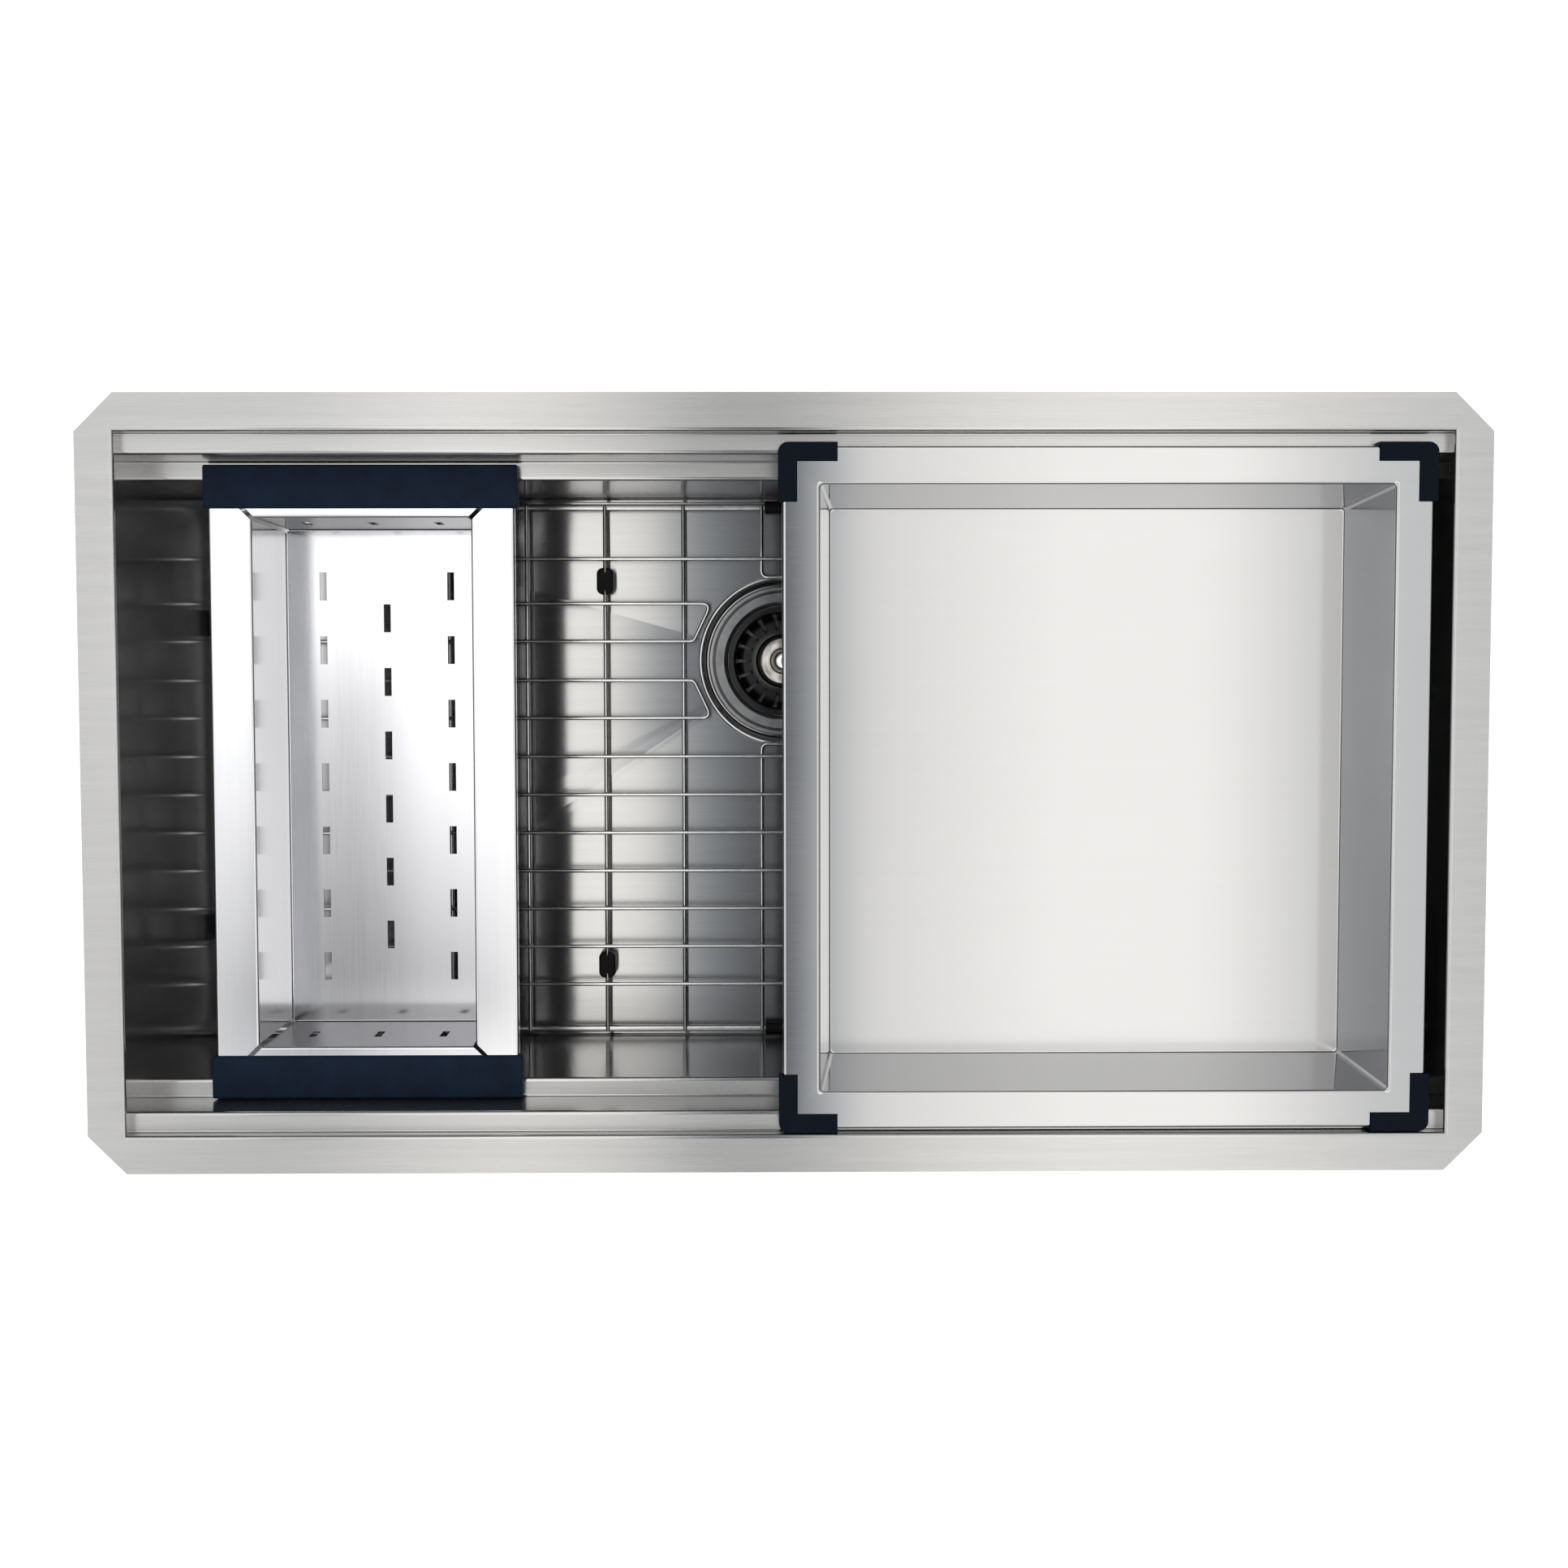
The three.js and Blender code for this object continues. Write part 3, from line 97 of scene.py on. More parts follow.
# The camera stands over the middle of the sink and leans a little to the front.
CAMERA_PLACE = Vector((-12.5, 74.7, 1314.6)) * MM
CAMERA_FOCAL_PIXELS = 2499.9
CAMERA_TILT = (0.05567, 0.00836, 0.0013)  # about X, Y and Z, in radians
CAMERA_RANGE = (0.01, 100)
SENSOR_WIDTH = 36


def make_camera():
    data = assign(bpy.data.cameras.new("camera"), sensor_fit="HORIZONTAL", sensor_width=SENSOR_WIDTH)
    data.lens = CAMERA_FOCAL_PIXELS / PHOTO_SIZE * SENSOR_WIDTH
    data.clip_start, data.clip_end = CAMERA_RANGE
    camera = new_object("camera", data)
    turn_x, turn_y, turn_z = (Matrix.Rotation(angle, 3, axis) for angle, axis in zip(CAMERA_TILT, "XYZ"))
    camera.matrix_world = Matrix.Translation(CAMERA_PLACE) @ (turn_z @ turn_x @ turn_y).transposed().to_4x4()
    scene.camera = camera


# ---- materials


class Nodes:
    """A short way to write a material's nodes."""

    def __init__(self, name):
        self.material = bpy.data.materials.new(name)
        self.material.use_nodes = True
        self.tree = self.material.node_tree
        self.shader = self.tree.nodes["Principled BSDF"]

    def add(self, kind, links=None, **values):
        node = assign(self.tree.nodes.new("ShaderNode" + kind), **values)
        for key, value in (links or {}).items():
            self.link(value, node.inputs[key])
        return node

    def link(self, value, socket):
        if isinstance(value, bpy.types.NodeSocket):
            self.tree.links.new(value, socket)
        else:
            socket.default_value = value

    def set(self, **values):
        for key, value in values.items():
            self.link(value, self.shader.inputs[key.replace("_", " ")])

    def coordinates(self, scale=(1, 1, 1)):
        place = self.add("TexCoord").outputs["Object"]
        return self.add("Mapping", {"Vector": place, "Scale": scale}).outputs[0]

    def axes(self):
        return self.add("SeparateXYZ", {0: self.coordinates()}).outputs

    def noise(self, scale, detail=2.0, roughness=0.5, stretch=(1, 1, 1)):
        links = {"Vector": self.coordinates(stretch), "Scale": scale, "Detail": detail}
        return self.add("TexNoise", {**links, "Roughness": roughness}).outputs["Fac"]

    def maths(self, operation, *values):
        return self.add("Math", dict(enumerate(values)), operation=operation).outputs[0]

    def ramp(self, value, low, high, start=0.3, end=0.7):
        """value, stretched from start..end to low..high."""
        links = {"Value": value, "From Min": start, "From Max": end, "To Min": low, "To Max": high}
        return self.add("MapRange", links).outputs["Result"]

    def mix(self, share, first, second):
        return self.add("Mix", {0: share, 6: first, 7: second}, data_type="RGBA").outputs[2]

    def bump(self, height, strength, distance=0.001):
        links = {"Height": height, "Strength": strength, "Distance": distance}
        return self.add("Bump", links).outputs["Normal"]

    def glow(self, strength, color=(1, 1, 1, 1), **values):
        """Black but for its own light."""
        self.set(Base_Color=(0, 0, 0, 1), Specular_IOR_Level=0, **values)
        self.set(Emission_Color=color, Emission_Strength=strength)
        return self.material


def shades(tone, *factors):
    return [tuple(c * factor for c in tone) + (1,) for factor in factors]


ROUGHNESS_SWING = (-0.008, 0.012)  # by the scratches, and as much again by the smears


def brushed_steel(grain, tone, roughness=0.16, anisotropy=0.85, streaks=0.04, bump=0.01, edge=1.0):
    """Sheet steel with fine scratches along one axis. Reflections smear across them."""
    n = Nodes("brushed_steel")
    fine, wide = ([along if axis == grain else across for axis in range(3)]
                  for along, across in ((25, 2600), (4, 160)))
    scratches = n.noise(1.0, 2.0, 0.6, fine)
    strokes = n.noise(1.0, stretch=wide)
    smears = n.noise(9.0)
    share = n.maths("MULTIPLY_ADD", strokes, 0.4, n.maths("MULTIPLY", scratches, 0.6))
    n.set(Base_Color=n.mix(n.ramp(share, 0, 1, 0.35, 0.65), *shades(tone, 1 - streaks, 1 + streaks / 2)))
    low, high = ROUGHNESS_SWING
    wear = n.maths("ADD", n.ramp(scratches, low, high), n.ramp(smears, roughness + low, roughness + high))
    n.set(Roughness=wear, Metallic=1.0, Anisotropic=anisotropy, Specular_Tint=(edge, edge, edge, 1))
    along = n.add("CombineXYZ", {grain: 1}).outputs[0]
    facing = n.add("NewGeometry").outputs["Normal"]
    across = n.add("VectorMath", {0: facing, 1: along}, operation="CROSS_PRODUCT").outputs[0]
    n.set(Tangent=across, Normal=n.bump(scratches, bump, 0.00005))
    return n.material


def rubber(color, roughness, grain=1400.0, bump=0.12, gloss=0.5):
    """Moulded rubber or silicone: a fine matt skin with faint handling marks."""
    n = Nodes("rubber")
    skin = n.noise(grain, 3.0, 0.6)
    marks = n.noise(60.0, 3.0, 0.6)
    n.set(Base_Color=n.mix(n.ramp(marks, 0, 1), *shades(color, 0.82, 1.18)))
    n.set(Roughness=n.ramp(marks, roughness - 0.06, roughness + 0.08), Specular_IOR_Level=gloss)
    n.set(Normal=n.bump(skin, bump, 0.0002))
    return n.material


def smooth_metal(tone, roughness, scratches=260.0):
    """Turned or drawn metal with faint wear."""
    n = Nodes("smooth_metal")
    wear = n.noise(scratches, 4.0, 0.65)
    n.set(Base_Color=n.mix(n.ramp(n.noise(22.0), 0, 1), *shades(tone, 0.9, 1)))
    n.set(Roughness=n.ramp(wear, roughness * 0.8, roughness * 1.25), Metallic=1.0)
    n.set(Normal=n.bump(wear, 0.02, 0.0001))
    return n.material


STEEL = (0.48, 0.476, 0.476)
TRAY_STEEL = (0.478, 0.478, 0.486)
COLANDER_STEEL = (0.65, 0.65, 0.67)
# The colander's slotted end walls: a darker copy of its steel, with dimmer grazing reflection (edge 0.5), as
# painted shade.
COLANDER_END_SHADED_STEEL = (0.42, 0.42, 0.435)
materials = {  # after a tone come roughness, anisotropy, streaks and bump
    "steel_x": brushed_steel(0, STEEL),
    "floor": brushed_steel(0, STEEL, 0.14, 0.92),
    "steel_y": brushed_steel(1, STEEL),
    "satin": brushed_steel(0, STEEL, 0.28, 0.6, 0.08),
    "tray": brushed_steel(0, TRAY_STEEL, 0.11, 0.4, 0.012, 0.003),
    "colander": brushed_steel(1, COLANDER_STEEL, 0.12, 0.6, 0.03),
    "colander_end_shaded": brushed_steel(2, COLANDER_END_SHADED_STEEL, 0.2, 0.6, edge=0.5),
    "chrome": smooth_metal((0.86, 0.86, 0.87), 0.12),
    # The basket cup's near-black tone is painted shade of the drain's hollow; its dome, of the same sheet,
    # gets a lighter grey.
    "basket": smooth_metal((0.045, 0.045, 0.045), 0.2),
    "dome": smooth_metal((0.42, 0.405, 0.38), 0.16),
    "wire": smooth_metal((0.64, 0.64, 0.65), 0.16),
    "strainer": smooth_metal((0.305, 0.307, 0.312), 0.2, 90.0),
    "silicone": rubber((0.006, 0.0115, 0.024), 0.5, gloss=0.05),
    "guard": rubber((0.002, 0.0042, 0.0085), 0.5, gloss=0.05),
    "black_rubber": rubber((0.003, 0.003, 0.004), 0.5, gloss=0.15),
    "pad": rubber((0.09, 0.094, 0.1), 0.85, 500.0, 0.3),
    "putty": rubber((0.4, 0.37, 0.31), 0.85, 400.0, 0.3),
    "fibre": rubber((0.3, 0.19, 0.1), 0.8, 700.0, 0.3),
    "plastic": rubber((0.72, 0.71, 0.67), 0.42, 900.0, 0.05),
}
for name, material in materials.items():
    material.name = name
SLOTS = dict(zip(materials, materials), wire="grid_wire", strainer="strainer_steel", guard="silicone",
             pad="sound_pad", plastic="white_plastic")
SLOTS.update(dict.fromkeys(("steel_x", "floor", "steel_y", "satin", "tray", "colander", "colander_end_shaded"),
                           "brushed_sheet"))
SLOTS.update(dict.fromkeys(("chrome", "basket", "dome"), "polished_steel"))

# ---- sizes, in millimetres


def box_mm(node):
    low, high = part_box(node)
    return low / MM, high / MM


def turned_size(node):
    """Lower and upper end and outer radius of a part that is turned round the drain's axis."""
    low, high = box_mm(node)
    return low.z, high.z, (high.x - low.x) / 2


FLANGE = 25.0
SHEET = 1.5
FOLD = 1.0  # inside radius of a fold
UPPER_DROP = 11.5  # flange top to upper ledge
UPPER_LEDGE = 13.5
LOWER_DROP = 59.0
LOWER_LEDGE = 12.7
FLOOR_DROP = 245.0
WALL_LEAN = 4.0
FLOOR_FILLET = 4.0
FLOOR_FALL = 5.0  # floor's edge down to the drain centre

X_WALL = box_mm("right_end_panel")[0].x
Y_WALL = box_mm("rear_wall_panel")[1].y - FLANGE
Y_UPPER = Y_WALL - UPPER_LEDGE
Y_LOWER = Y_UPPER - LOWER_LEDGE
Y_FLOOR = Y_LOWER + WALL_LEAN
Z_JOIN = -(FLOOR_DROP - FLOOR_FILLET)

drain_low, drain_high = box_mm("strainer_body")
DRAIN = (drain_low + drain_high) / 2
RECESS_RADIUS = 60.5
RECESS_SLOPE = 2.0
RECESS_DEPTH = 2.4
DRAIN_HOLE_RADIUS = 45.0
Z_RECESS = -(FLOOR_DROP + FLOOR_FALL + RECESS_DEPTH)

# ---- mesh helpers


class Surface:
    """Points and faces in millimetres. Points at the same place are shared."""

    def __init__(self):
        self.points = []
        self.faces = []
        self.finishes = []
        self.known = {}

    def at(self, point):
        key = tuple(round(c, 3) for c in point)
        if key not in self.known:
            self.known[key] = len(self.points)
            self.points.append(Vector(point))
        return self.known[key]

    def face(self, *corners, finish=0):
        indices = list(dict.fromkeys(self.at(corner) for corner in corners))
        if len(indices) > 2:
            self.faces.append(indices)
            self.finishes.append(finish)

    def rings(self, rings, loop=False, ends=False):
        """Rings of equally many points, joined in turn. With loop the last joins the first."""
        count = len(rings[0])
        for ring, after in list(zip(rings, rings[1:])) + [(rings[-1], rings[0])] * loop:
            for i in range(count):
                j = (i + 1) % count
                self.face(ring[i], ring[j], after[j], after[i])
        if ends:
            self.face(*rings[0])
            self.face(*rings[-1])
        return self

    def mesh(self, name):
        """The mesh, with its faces turned outwards, and the edges round an open sheet."""
        build = bmesh.new()
        corners = [build.verts.new(point * MM) for point in self.points]
        for indices, finish in zip(self.faces, self.finishes):
            build.faces.new([corners[i] for i in indices]).material_index = finish
        bmesh.ops.recalc_face_normals(build, faces=build.faces)
        build.edges.index_update()
        rim = [edge.index for edge in build.edges if edge.is_boundary]
        mesh = bpy.data.meshes.new(name)
        build.to_mesh(mesh)
        build.free()
        return mesh, rim


def shade(piece, sharp=32.0, even=True, rim=()):
    mesh = piece.data
    mesh.shade_smooth()
    mesh.set_sharp_from_angle(angle=radians(sharp))
    for index in rim:  # so that a sheet's cut edges don't tilt the shading of its flat sides
        mesh.edges[index].use_edge_sharp = True
    if even:
        piece.modifiers.new("even_shading", "WEIGHTED_NORMAL").keep_sharp = True


def add_piece(node, surface, *finishes, sharp=32.0, even=True, thickness=None):
    """Makes the shown piece that stands for one CAD node."""
    mesh, rim = surface.mesh(node + "_finished")
    for finish in finishes:
        mesh.materials.append(materials[finish])
    piece = new_object(node + "_finished", mesh)
    if thickness:
        shell = piece.modifiers.new("thickness", "SOLIDIFY")
        assign(shell, thickness=thickness * MM, offset=-1, use_even_offset=True)
    shade(piece, sharp, even, rim)
    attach(piece, frame["nodes"][node]["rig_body"])
    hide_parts(node)
    return piece


def face_up(piece):
    """Turns an open sheet's faces over if its visible side looks down."""
    mesh = piece.data
    if sum(p.normal.z * p.area for p in mesh.polygons) < 0:
        mesh.flip_normals()


def carve(piece, *cutters):
    """Cuts surfaces out of a piece and keeps the result as its mesh."""
    piece.modifiers.clear()
    helpers = []
    for surface in cutters:
        helpers.append(new_object("cutter", surface.mesh("cutter")[0]))
        difference = piece.modifiers.new("carve", "BOOLEAN")
        assign(difference, operation="DIFFERENCE", solver="EXACT", object=helpers[-1])
    graph = bpy.context.evaluated_depsgraph_get()
    carved = bpy.data.meshes.new_from_object(piece.evaluated_get(graph))
    piece.modifiers.clear()
    piece.data = carved
    shade(piece)
    for helper in helpers:
        bpy.data.objects.remove(helper)


def around(count):
    """Angles that share a full turn."""
    return [2 * pi * k / count for k in range(count)]


def about_drain(radius, angle, z):
    return (DRAIN.x + radius * cos(angle), DRAIN.y + radius * sin(angle), z)


def turned(profile, segments):
    """A closed profile of (radius, z) turned round the drain's axis."""
    return Surface().rings([[about_drain(r, a, z) for r, z in profile] for a in around(segments)], loop=True)


def near(r, z, *steps):
    """Points of a profile, each given by its steps from (r, z)."""
    return [(r + step_r, z + step_z) for step_r, step_z in steps]


def arc(r, z, radius, angles):
    return [(r + radius * cos(a), z + radius * sin(a)) for a in angles]


def quarter(r, z, radius, start, steps, turn=-90):
    """Points of a rounded edge, from an angle in degrees."""
    return arc(r, z, radius, [radians(start + turn * k / steps) for k in range(steps + 1)])


def rounded_levels(low, high, radius, angles):
    """(inset, z) of a block's levels, with its lower and upper edges rounded."""
    levels = []
    for angle in map(radians, angles):
        levels.append((radius * (1 - cos(angle)), low + radius * (1 - sin(angle))))
    return levels + [(inset, high - (z - low)) for inset, z in reversed(levels)]


def placed(outline, centre, z):
    return [(centre.x + x, centre.y + y, z) for x, y in outline]


def block(outline, centre, *heights):
    return Surface().rings([placed(outline, centre, z) for z in heights], ends=True)


CORNERS = ((1, 1), (-1, 1), (-1, -1), (1, -1))


def rounded_rectangle(half_x, half_y, radius, steps=8):
    points = []
    for corner, (sign_x, sign_y) in enumerate(CORNERS):
        angles = [(corner + step / steps) * pi / 2 for step in range(steps + 1)]
        points += arc(sign_x * (half_x - radius), sign_y * (half_y - radius), radius, angles)
    return points


def folded(points, thickness, inside=FOLD, steps=8):
    """Face and back of a folded sheet's section. The back lies to the left of the points' way,
    or to the right where the thickness is negative."""
    path = [Vector(p) for p in points]
    ways = [(b - a).normalized() for a, b in zip(path, path[1:])]

    def left(way):
        return Vector((-way.y, way.x))

    pairs = [(path[0], path[0] + left(ways[0]) * thickness)]
    for corner, before, after in zip(path[1:-1], ways, ways[1:]):
        turn = atan2(before.x * after.y - before.y * after.x, before.dot(after))
        if abs(turn) < 1e-6:
            pairs.append((corner, corner + left(before) * thickness))
            continue
        side = copysign(1, turn)
        radii = (inside, inside + abs(thickness))[::-1 if side * thickness > 0 else 1]
        start = corner - before * radii[0] * tan(abs(turn) / 2)
        centre = start + left(before) * side * radii[0]
        for step in range(steps + 1):
            spoke = Matrix.Rotation(turn * step / steps, 2) @ (left(before) * -side)
            pairs.append([centre + spoke * radius for radius in radii])
    pairs.append((path[-1], path[-1] + left(ways[-1]) * thickness))
    return [list(line) for line in zip(*pairs)]


WIRE_TIP = 0.45  # how far a wire's rounded tip bulges, in wire radii


def sweep(surface, points, diameter, closed=False, sides=16):
    """A round wire through points, mitred at each of them, with softly rounded ends."""
    path = [Vector(p) for p in points]
    radius = diameter / 2

    def ring(point, along, widen=1.0, size=1.0):
        across = along.cross(Vector((0, 0, 1))).normalized()
        over = across.cross(along).normalized()
        return [point + across * radius * size * widen * cos(a) + over * radius * size * sin(a)
                for a in around(sides)]

    leaves = [(after - point).normalized() for point, after in zip(path, path[1:] + path[:1])]
    arrivals = leaves[-1:] + leaves[:-1]
    if not closed:
        arrivals[0], leaves[-1] = leaves[0], arrivals[-1]
    rings = []
    for point, arrive, leave in zip(path, arrivals, leaves):
        along = (arrive + leave).normalized()
        rings.append(ring(point, along, 1 / max(0.5, arrive.dot(along))))
    if closed:
        return surface.rings(rings, loop=True)

    def tip(end, inner, facing):
        out = (end - inner).normalized()
        bulge = out * WIRE_TIP * radius
        return [ring(end - bulge * (1 - sin(a)), out * facing, size=cos(a))
                for a in map(radians, (0, 30, 60, 80))]

    rings[-1:] = tip(path[-1], path[-2], 1)
    rings[:1] = tip(path[0], path[1], -1)[::-1]
    return surface.rings(rings, ends=True)


def bent_path(points, radius, steps=6):
    """A path whose corners are rounded."""
    path = [Vector(p) for p in points]
    out = path[:1]
    for before, corner, after in zip(path, path[1:], path[2:]):
        one, two = before - corner, after - corner
        reach = radius / tan(one.angle(two) / 2)
        start, end = (corner + way.normalized() * reach for way in (one, two))
        for t in (k / steps for k in range(steps + 1)):
            out.append(start * (1 - t) ** 2 + corner * 2 * t * (1 - t) + end * t ** 2)
    return out + path[-1:]


def curve_through(points, steps=5):
    """A smooth line through points."""
    path = [Vector(p) for p in (points[0], *points, points[-1])]
    out = []
    for p0, p1, p2, p3 in zip(path, path[1:], path[2:], path[3:]):
        for t in (step / steps for step in range(steps)):
            out.append(0.5 * (2 * p1 + (p2 - p0) * t + (2 * p0 - 5 * p1 + 4 * p2 - p3) * t ** 2
                              + (3 * p1 - p0 - 3 * p2 + p3) * t ** 3))
    return [tuple(p) for p in out + path[-1:]]


# ---- bowl

INSIDE, SATIN = 0, 1  # material slots of the bowl's panels
CORNER_CUT = FLANGE / 2  # where the flange's corners are cut off at 45 degrees


def panel_reach(distance, wall, other_wall):
    """Half a panel's length at a distance from the middle of the sink."""
    beyond = max(0, distance - wall)
    return other_wall + min(beyond, 2 * CORNER_CUT - beyond)


def fold_strips(face, back, at, is_satin):
    """Skins and ends of a folded sheet. at puts a point of its section at one end."""
    surface = Surface()
    for a, b, c, d in zip(face, face[1:], back, back[1:]):
        for p, q in ((a, b), (c, d)):
            finish = SATIN if is_satin(a, b) else INSIDE
            surface.face(at(-1, p), at(1, p), at(1, q), at(-1, q), finish=finish)
        for end in (-1, 1):
            surface.face(at(end, a), at(end, b), at(end, d), at(end, c))
    return surface


def close_strip(surface, p, q, at):
    surface.face(at(-1, p), at(1, p), at(1, q), at(-1, q))


def add_long_wall(node, side):
    """A long wall, both ledges and its flange, folded from one sheet."""
    section = [(Y_WALL + FLANGE, 0), (Y_WALL + CORNER_CUT, 0), (Y_WALL, 0), (Y_WALL, -UPPER_DROP),
               (Y_UPPER, -UPPER_DROP), (Y_UPPER, -LOWER_DROP), (Y_LOWER, -LOWER_DROP), (Y_FLOOR, Z_JOIN)]
    face, back = folded(section, SHEET)
    back[-1] = Vector((Y_FLOOR + SHEET, Z_JOIN))

    def at(end, p):
        return (end * panel_reach(p.x, Y_WALL, X_WALL), side * p.x, p.y)

    surface = fold_strips(face, back, at, lambda p, q: abs(p.y - q.y) < 0.01)
    close_strip(surface, face[0], back[0], at)
    close_strip(surface, face[-1], back[-1], at)
    add_piece(node, surface, "steel_x", "satin")
    return back


def add_end_wall(node, side, outline):
    """An end wall: a stepped plate below a folded flange."""
    section = [(X_WALL + FLANGE, 0), (X_WALL + CORNER_CUT, 0), (X_WALL, 0), (X_WALL, -UPPER_DROP)]
    face, back = (line[:-1] for line in folded(section, SHEET))

    def at(end, p):
        return (side * p.x, end * panel_reach(p.x, X_WALL, Y_WALL), p.y)

    surface = fold_strips(face, back, at, lambda p, q: p.y > -0.5)
    close_strip(surface, face[0], back[0], at)

    top = face[-1].y
    beside = Y_WALL + SHEET
    half = [(beside, top)] + [(p.x, p.y) for p in outline if p.y < top and p.x < beside + 0.01]
    loop = half + [(-y, z) for y, z in reversed(half)]
    inner, outer = ([(side * x, y, z) for y, z in loop] for x in (X_WALL, X_WALL + SHEET))
    tips = [(side * X_WALL, y, top) for y in (-Y_WALL, Y_WALL)]
    surface.face(*inner, *tips)
    surface.face(*outer)
    for i in range(len(loop) - 1):
        surface.face(inner[i], inner[i + 1], outer[i + 1], outer[i])
    surface.face(tips[1], inner[0], outer[0])
    surface.face(tips[0], inner[-1], outer[-1])
    add_piece(node, surface, "steel_y", "satin")


FLOOR_SPOKES = 144
CREASE_WIDTH = 0.004  # radians either side of a crease that stay soft


def add_floor_pan():
    """Four facets that fall to the drain, creased along the diagonals, with a filleted rim."""
    half_x, half_y = X_WALL - FLOOR_FILLET, Y_FLOOR - FLOOR_FILLET
    angles = [angle - pi for angle in around(FLOOR_SPOKES)]
    for sign_x, sign_y in CORNERS:
        crease = atan2(sign_y * half_y - DRAIN.y, sign_x * half_x - DRAIN.x)
        angles = [a for a in angles if abs(a - crease) > 2.5 * CREASE_WIDTH]
        angles += [crease - CREASE_WIDTH, crease, crease + CREASE_WIDTH]
    spokes = []  # angle, and distance from the drain's axis to the edge
    for angle in sorted(angles):
        ways = ((cos(angle), half_x, DRAIN.x), (sin(angle), half_y, DRAIN.y))
        reach = min((copysign(half, way) - at) / way for way, half, at in ways if abs(way) > 1e-9)
        spokes.append((angle, reach))

    def rim(grow, z):
        edge = [about_drain(reach, angle, z) for angle, reach in spokes]
        return [(x * (half_x + grow) / half_x, y * (half_y + grow) / half_y, z) for x, y, z in edge]

    def fillet(radius, steps=7):
        turns = [pi / 2 * k / steps for k in range(steps)]
        return [rim(radius * cos(a), Z_JOIN - radius * sin(a)) for a in turns]

    soft = RECESS_SLOPE / 2
    top, foot = RECESS_RADIUS + soft, RECESS_RADIUS - RECESS_SLOPE
    slope = ((RECESS_RADIUS - 0.2, 0.9), (RECESS_RADIUS - soft, 0.5), (foot + 0.2, 0.1), (foot - soft, 0))
    dish = [[about_drain(top, a, -FLOOR_DROP - FLOOR_FALL * (1 - top / reach)) for a, reach in spokes]]
    for radius, share in (*slope, (DRAIN_HOLE_RADIUS, 0)):
        dish.append([about_drain(radius, a, Z_RECESS + RECESS_DEPTH * share) for a, _ in spokes])
    rings = fillet(FLOOR_FILLET) + [rim(0, -FLOOR_DROP)] + dish
    rings += [[(x, y, z - SHEET) for x, y, z in ring] for ring in reversed(dish)]
    rings += [rim(0, -FLOOR_DROP - SHEET)] + fillet(FLOOR_FILLET + SHEET)[::-1]
    add_piece("floor_pan", Surface().rings(rings, loop=True), "floor", sharp=35)


def add_bowl():
    outline = add_long_wall("rear_wall_panel", 1)
    add_long_wall("front_wall_panel", -1)
    add_end_wall("right_end_panel", 1, outline)
    add_end_wall("left_end_panel", -1, outline)
    add_floor_pan()


# ---- drain and basket

FLANGE_RADIUS = 57.15
FLANGE_THICKNESS = 1.6
FLANGE_EDGE = 1.2
EDGE_ANGLES = (0, 0.4, 0.8, 1.2, pi / 2)
THROAT_RADIUS = 43.0
THROAT_WALL = 1.4
BOSS = THROAT_WALL + 3.0  # wall and thread of the cup and of the outlet
LIP_RADIUS = 3.0
SEAT_DROP = 9.0
CUP_RADIUS = 40.0
CUP_DEPTH = 48.0
CUP_CORNER = 5.0
CUP_ANGLES = (0, -0.3, -0.6, -0.9, -1.2, -pi / 2)
OUTLET_RADIUS = 18.0
Z_STRAINER = drain_high.z
Z_SEAT = Z_STRAINER - SEAT_DROP
Z_CUP = Z_STRAINER - CUP_DEPTH
Z_OUTLET = drain_low.z
FIT = 0.3  # gap between parts that slide over each other


def strainer_body():
    outside, outlet = CUP_RADIUS + BOSS, OUTLET_RADIUS + BOSS
    throat = THROAT_RADIUS + THROAT_WALL
    profile = [
        (FLANGE_RADIUS, Z_STRAINER - FLANGE_THICKNESS),
        *arc(FLANGE_RADIUS - FLANGE_EDGE, Z_STRAINER - FLANGE_EDGE, FLANGE_EDGE, EDGE_ANGLES),
        *near(FLANGE_RADIUS, Z_STRAINER, (-3, 0), (-3.2, -0.15), (-4.1, -1.1), (-5, -0.15), (-5.2, 0)),
        *quarter(THROAT_RADIUS + LIP_RADIUS, Z_STRAINER - LIP_RADIUS, LIP_RADIUS, 90, 8, turn=90),
        *near(THROAT_RADIUS, Z_SEAT, (0, 0.8), (-0.25, 0.2), (-0.8, 0)),
        *near(CUP_RADIUS, Z_SEAT, (0.5, 0), (0, -0.5)),
        *arc(CUP_RADIUS - CUP_CORNER, Z_CUP + CUP_CORNER, CUP_CORNER, CUP_ANGLES),
        *near(OUTLET_RADIUS, Z_CUP, (3, -0.8), (0.8, -1.6), (0, -3)),
        (OUTLET_RADIUS, Z_OUTLET), (outlet, Z_OUTLET), (outlet, Z_CUP - 6),
        (outside - 6, Z_CUP - THROAT_WALL - 1), (outside, Z_CUP + 3),
        (throat, Z_SEAT - 6), (throat, Z_STRAINER - FLANGE_THICKNESS),
    ]
    return turned(profile, 112)


def flat_ring(node, inner):
    low, high, outer = turned_size(node)
    soft = min(0.2, (high - low) / 4)
    profile = [(inner, low), *near(outer, low, (-soft, 0), (0, soft)),
               *near(outer, high, (0, -soft), (-soft, 0)), (inner, high)]
    return turned(profile, 80)


NUT_STEPS = 192
LUG_EASE = 0.06  # share of a lug's pitch over which its side rises


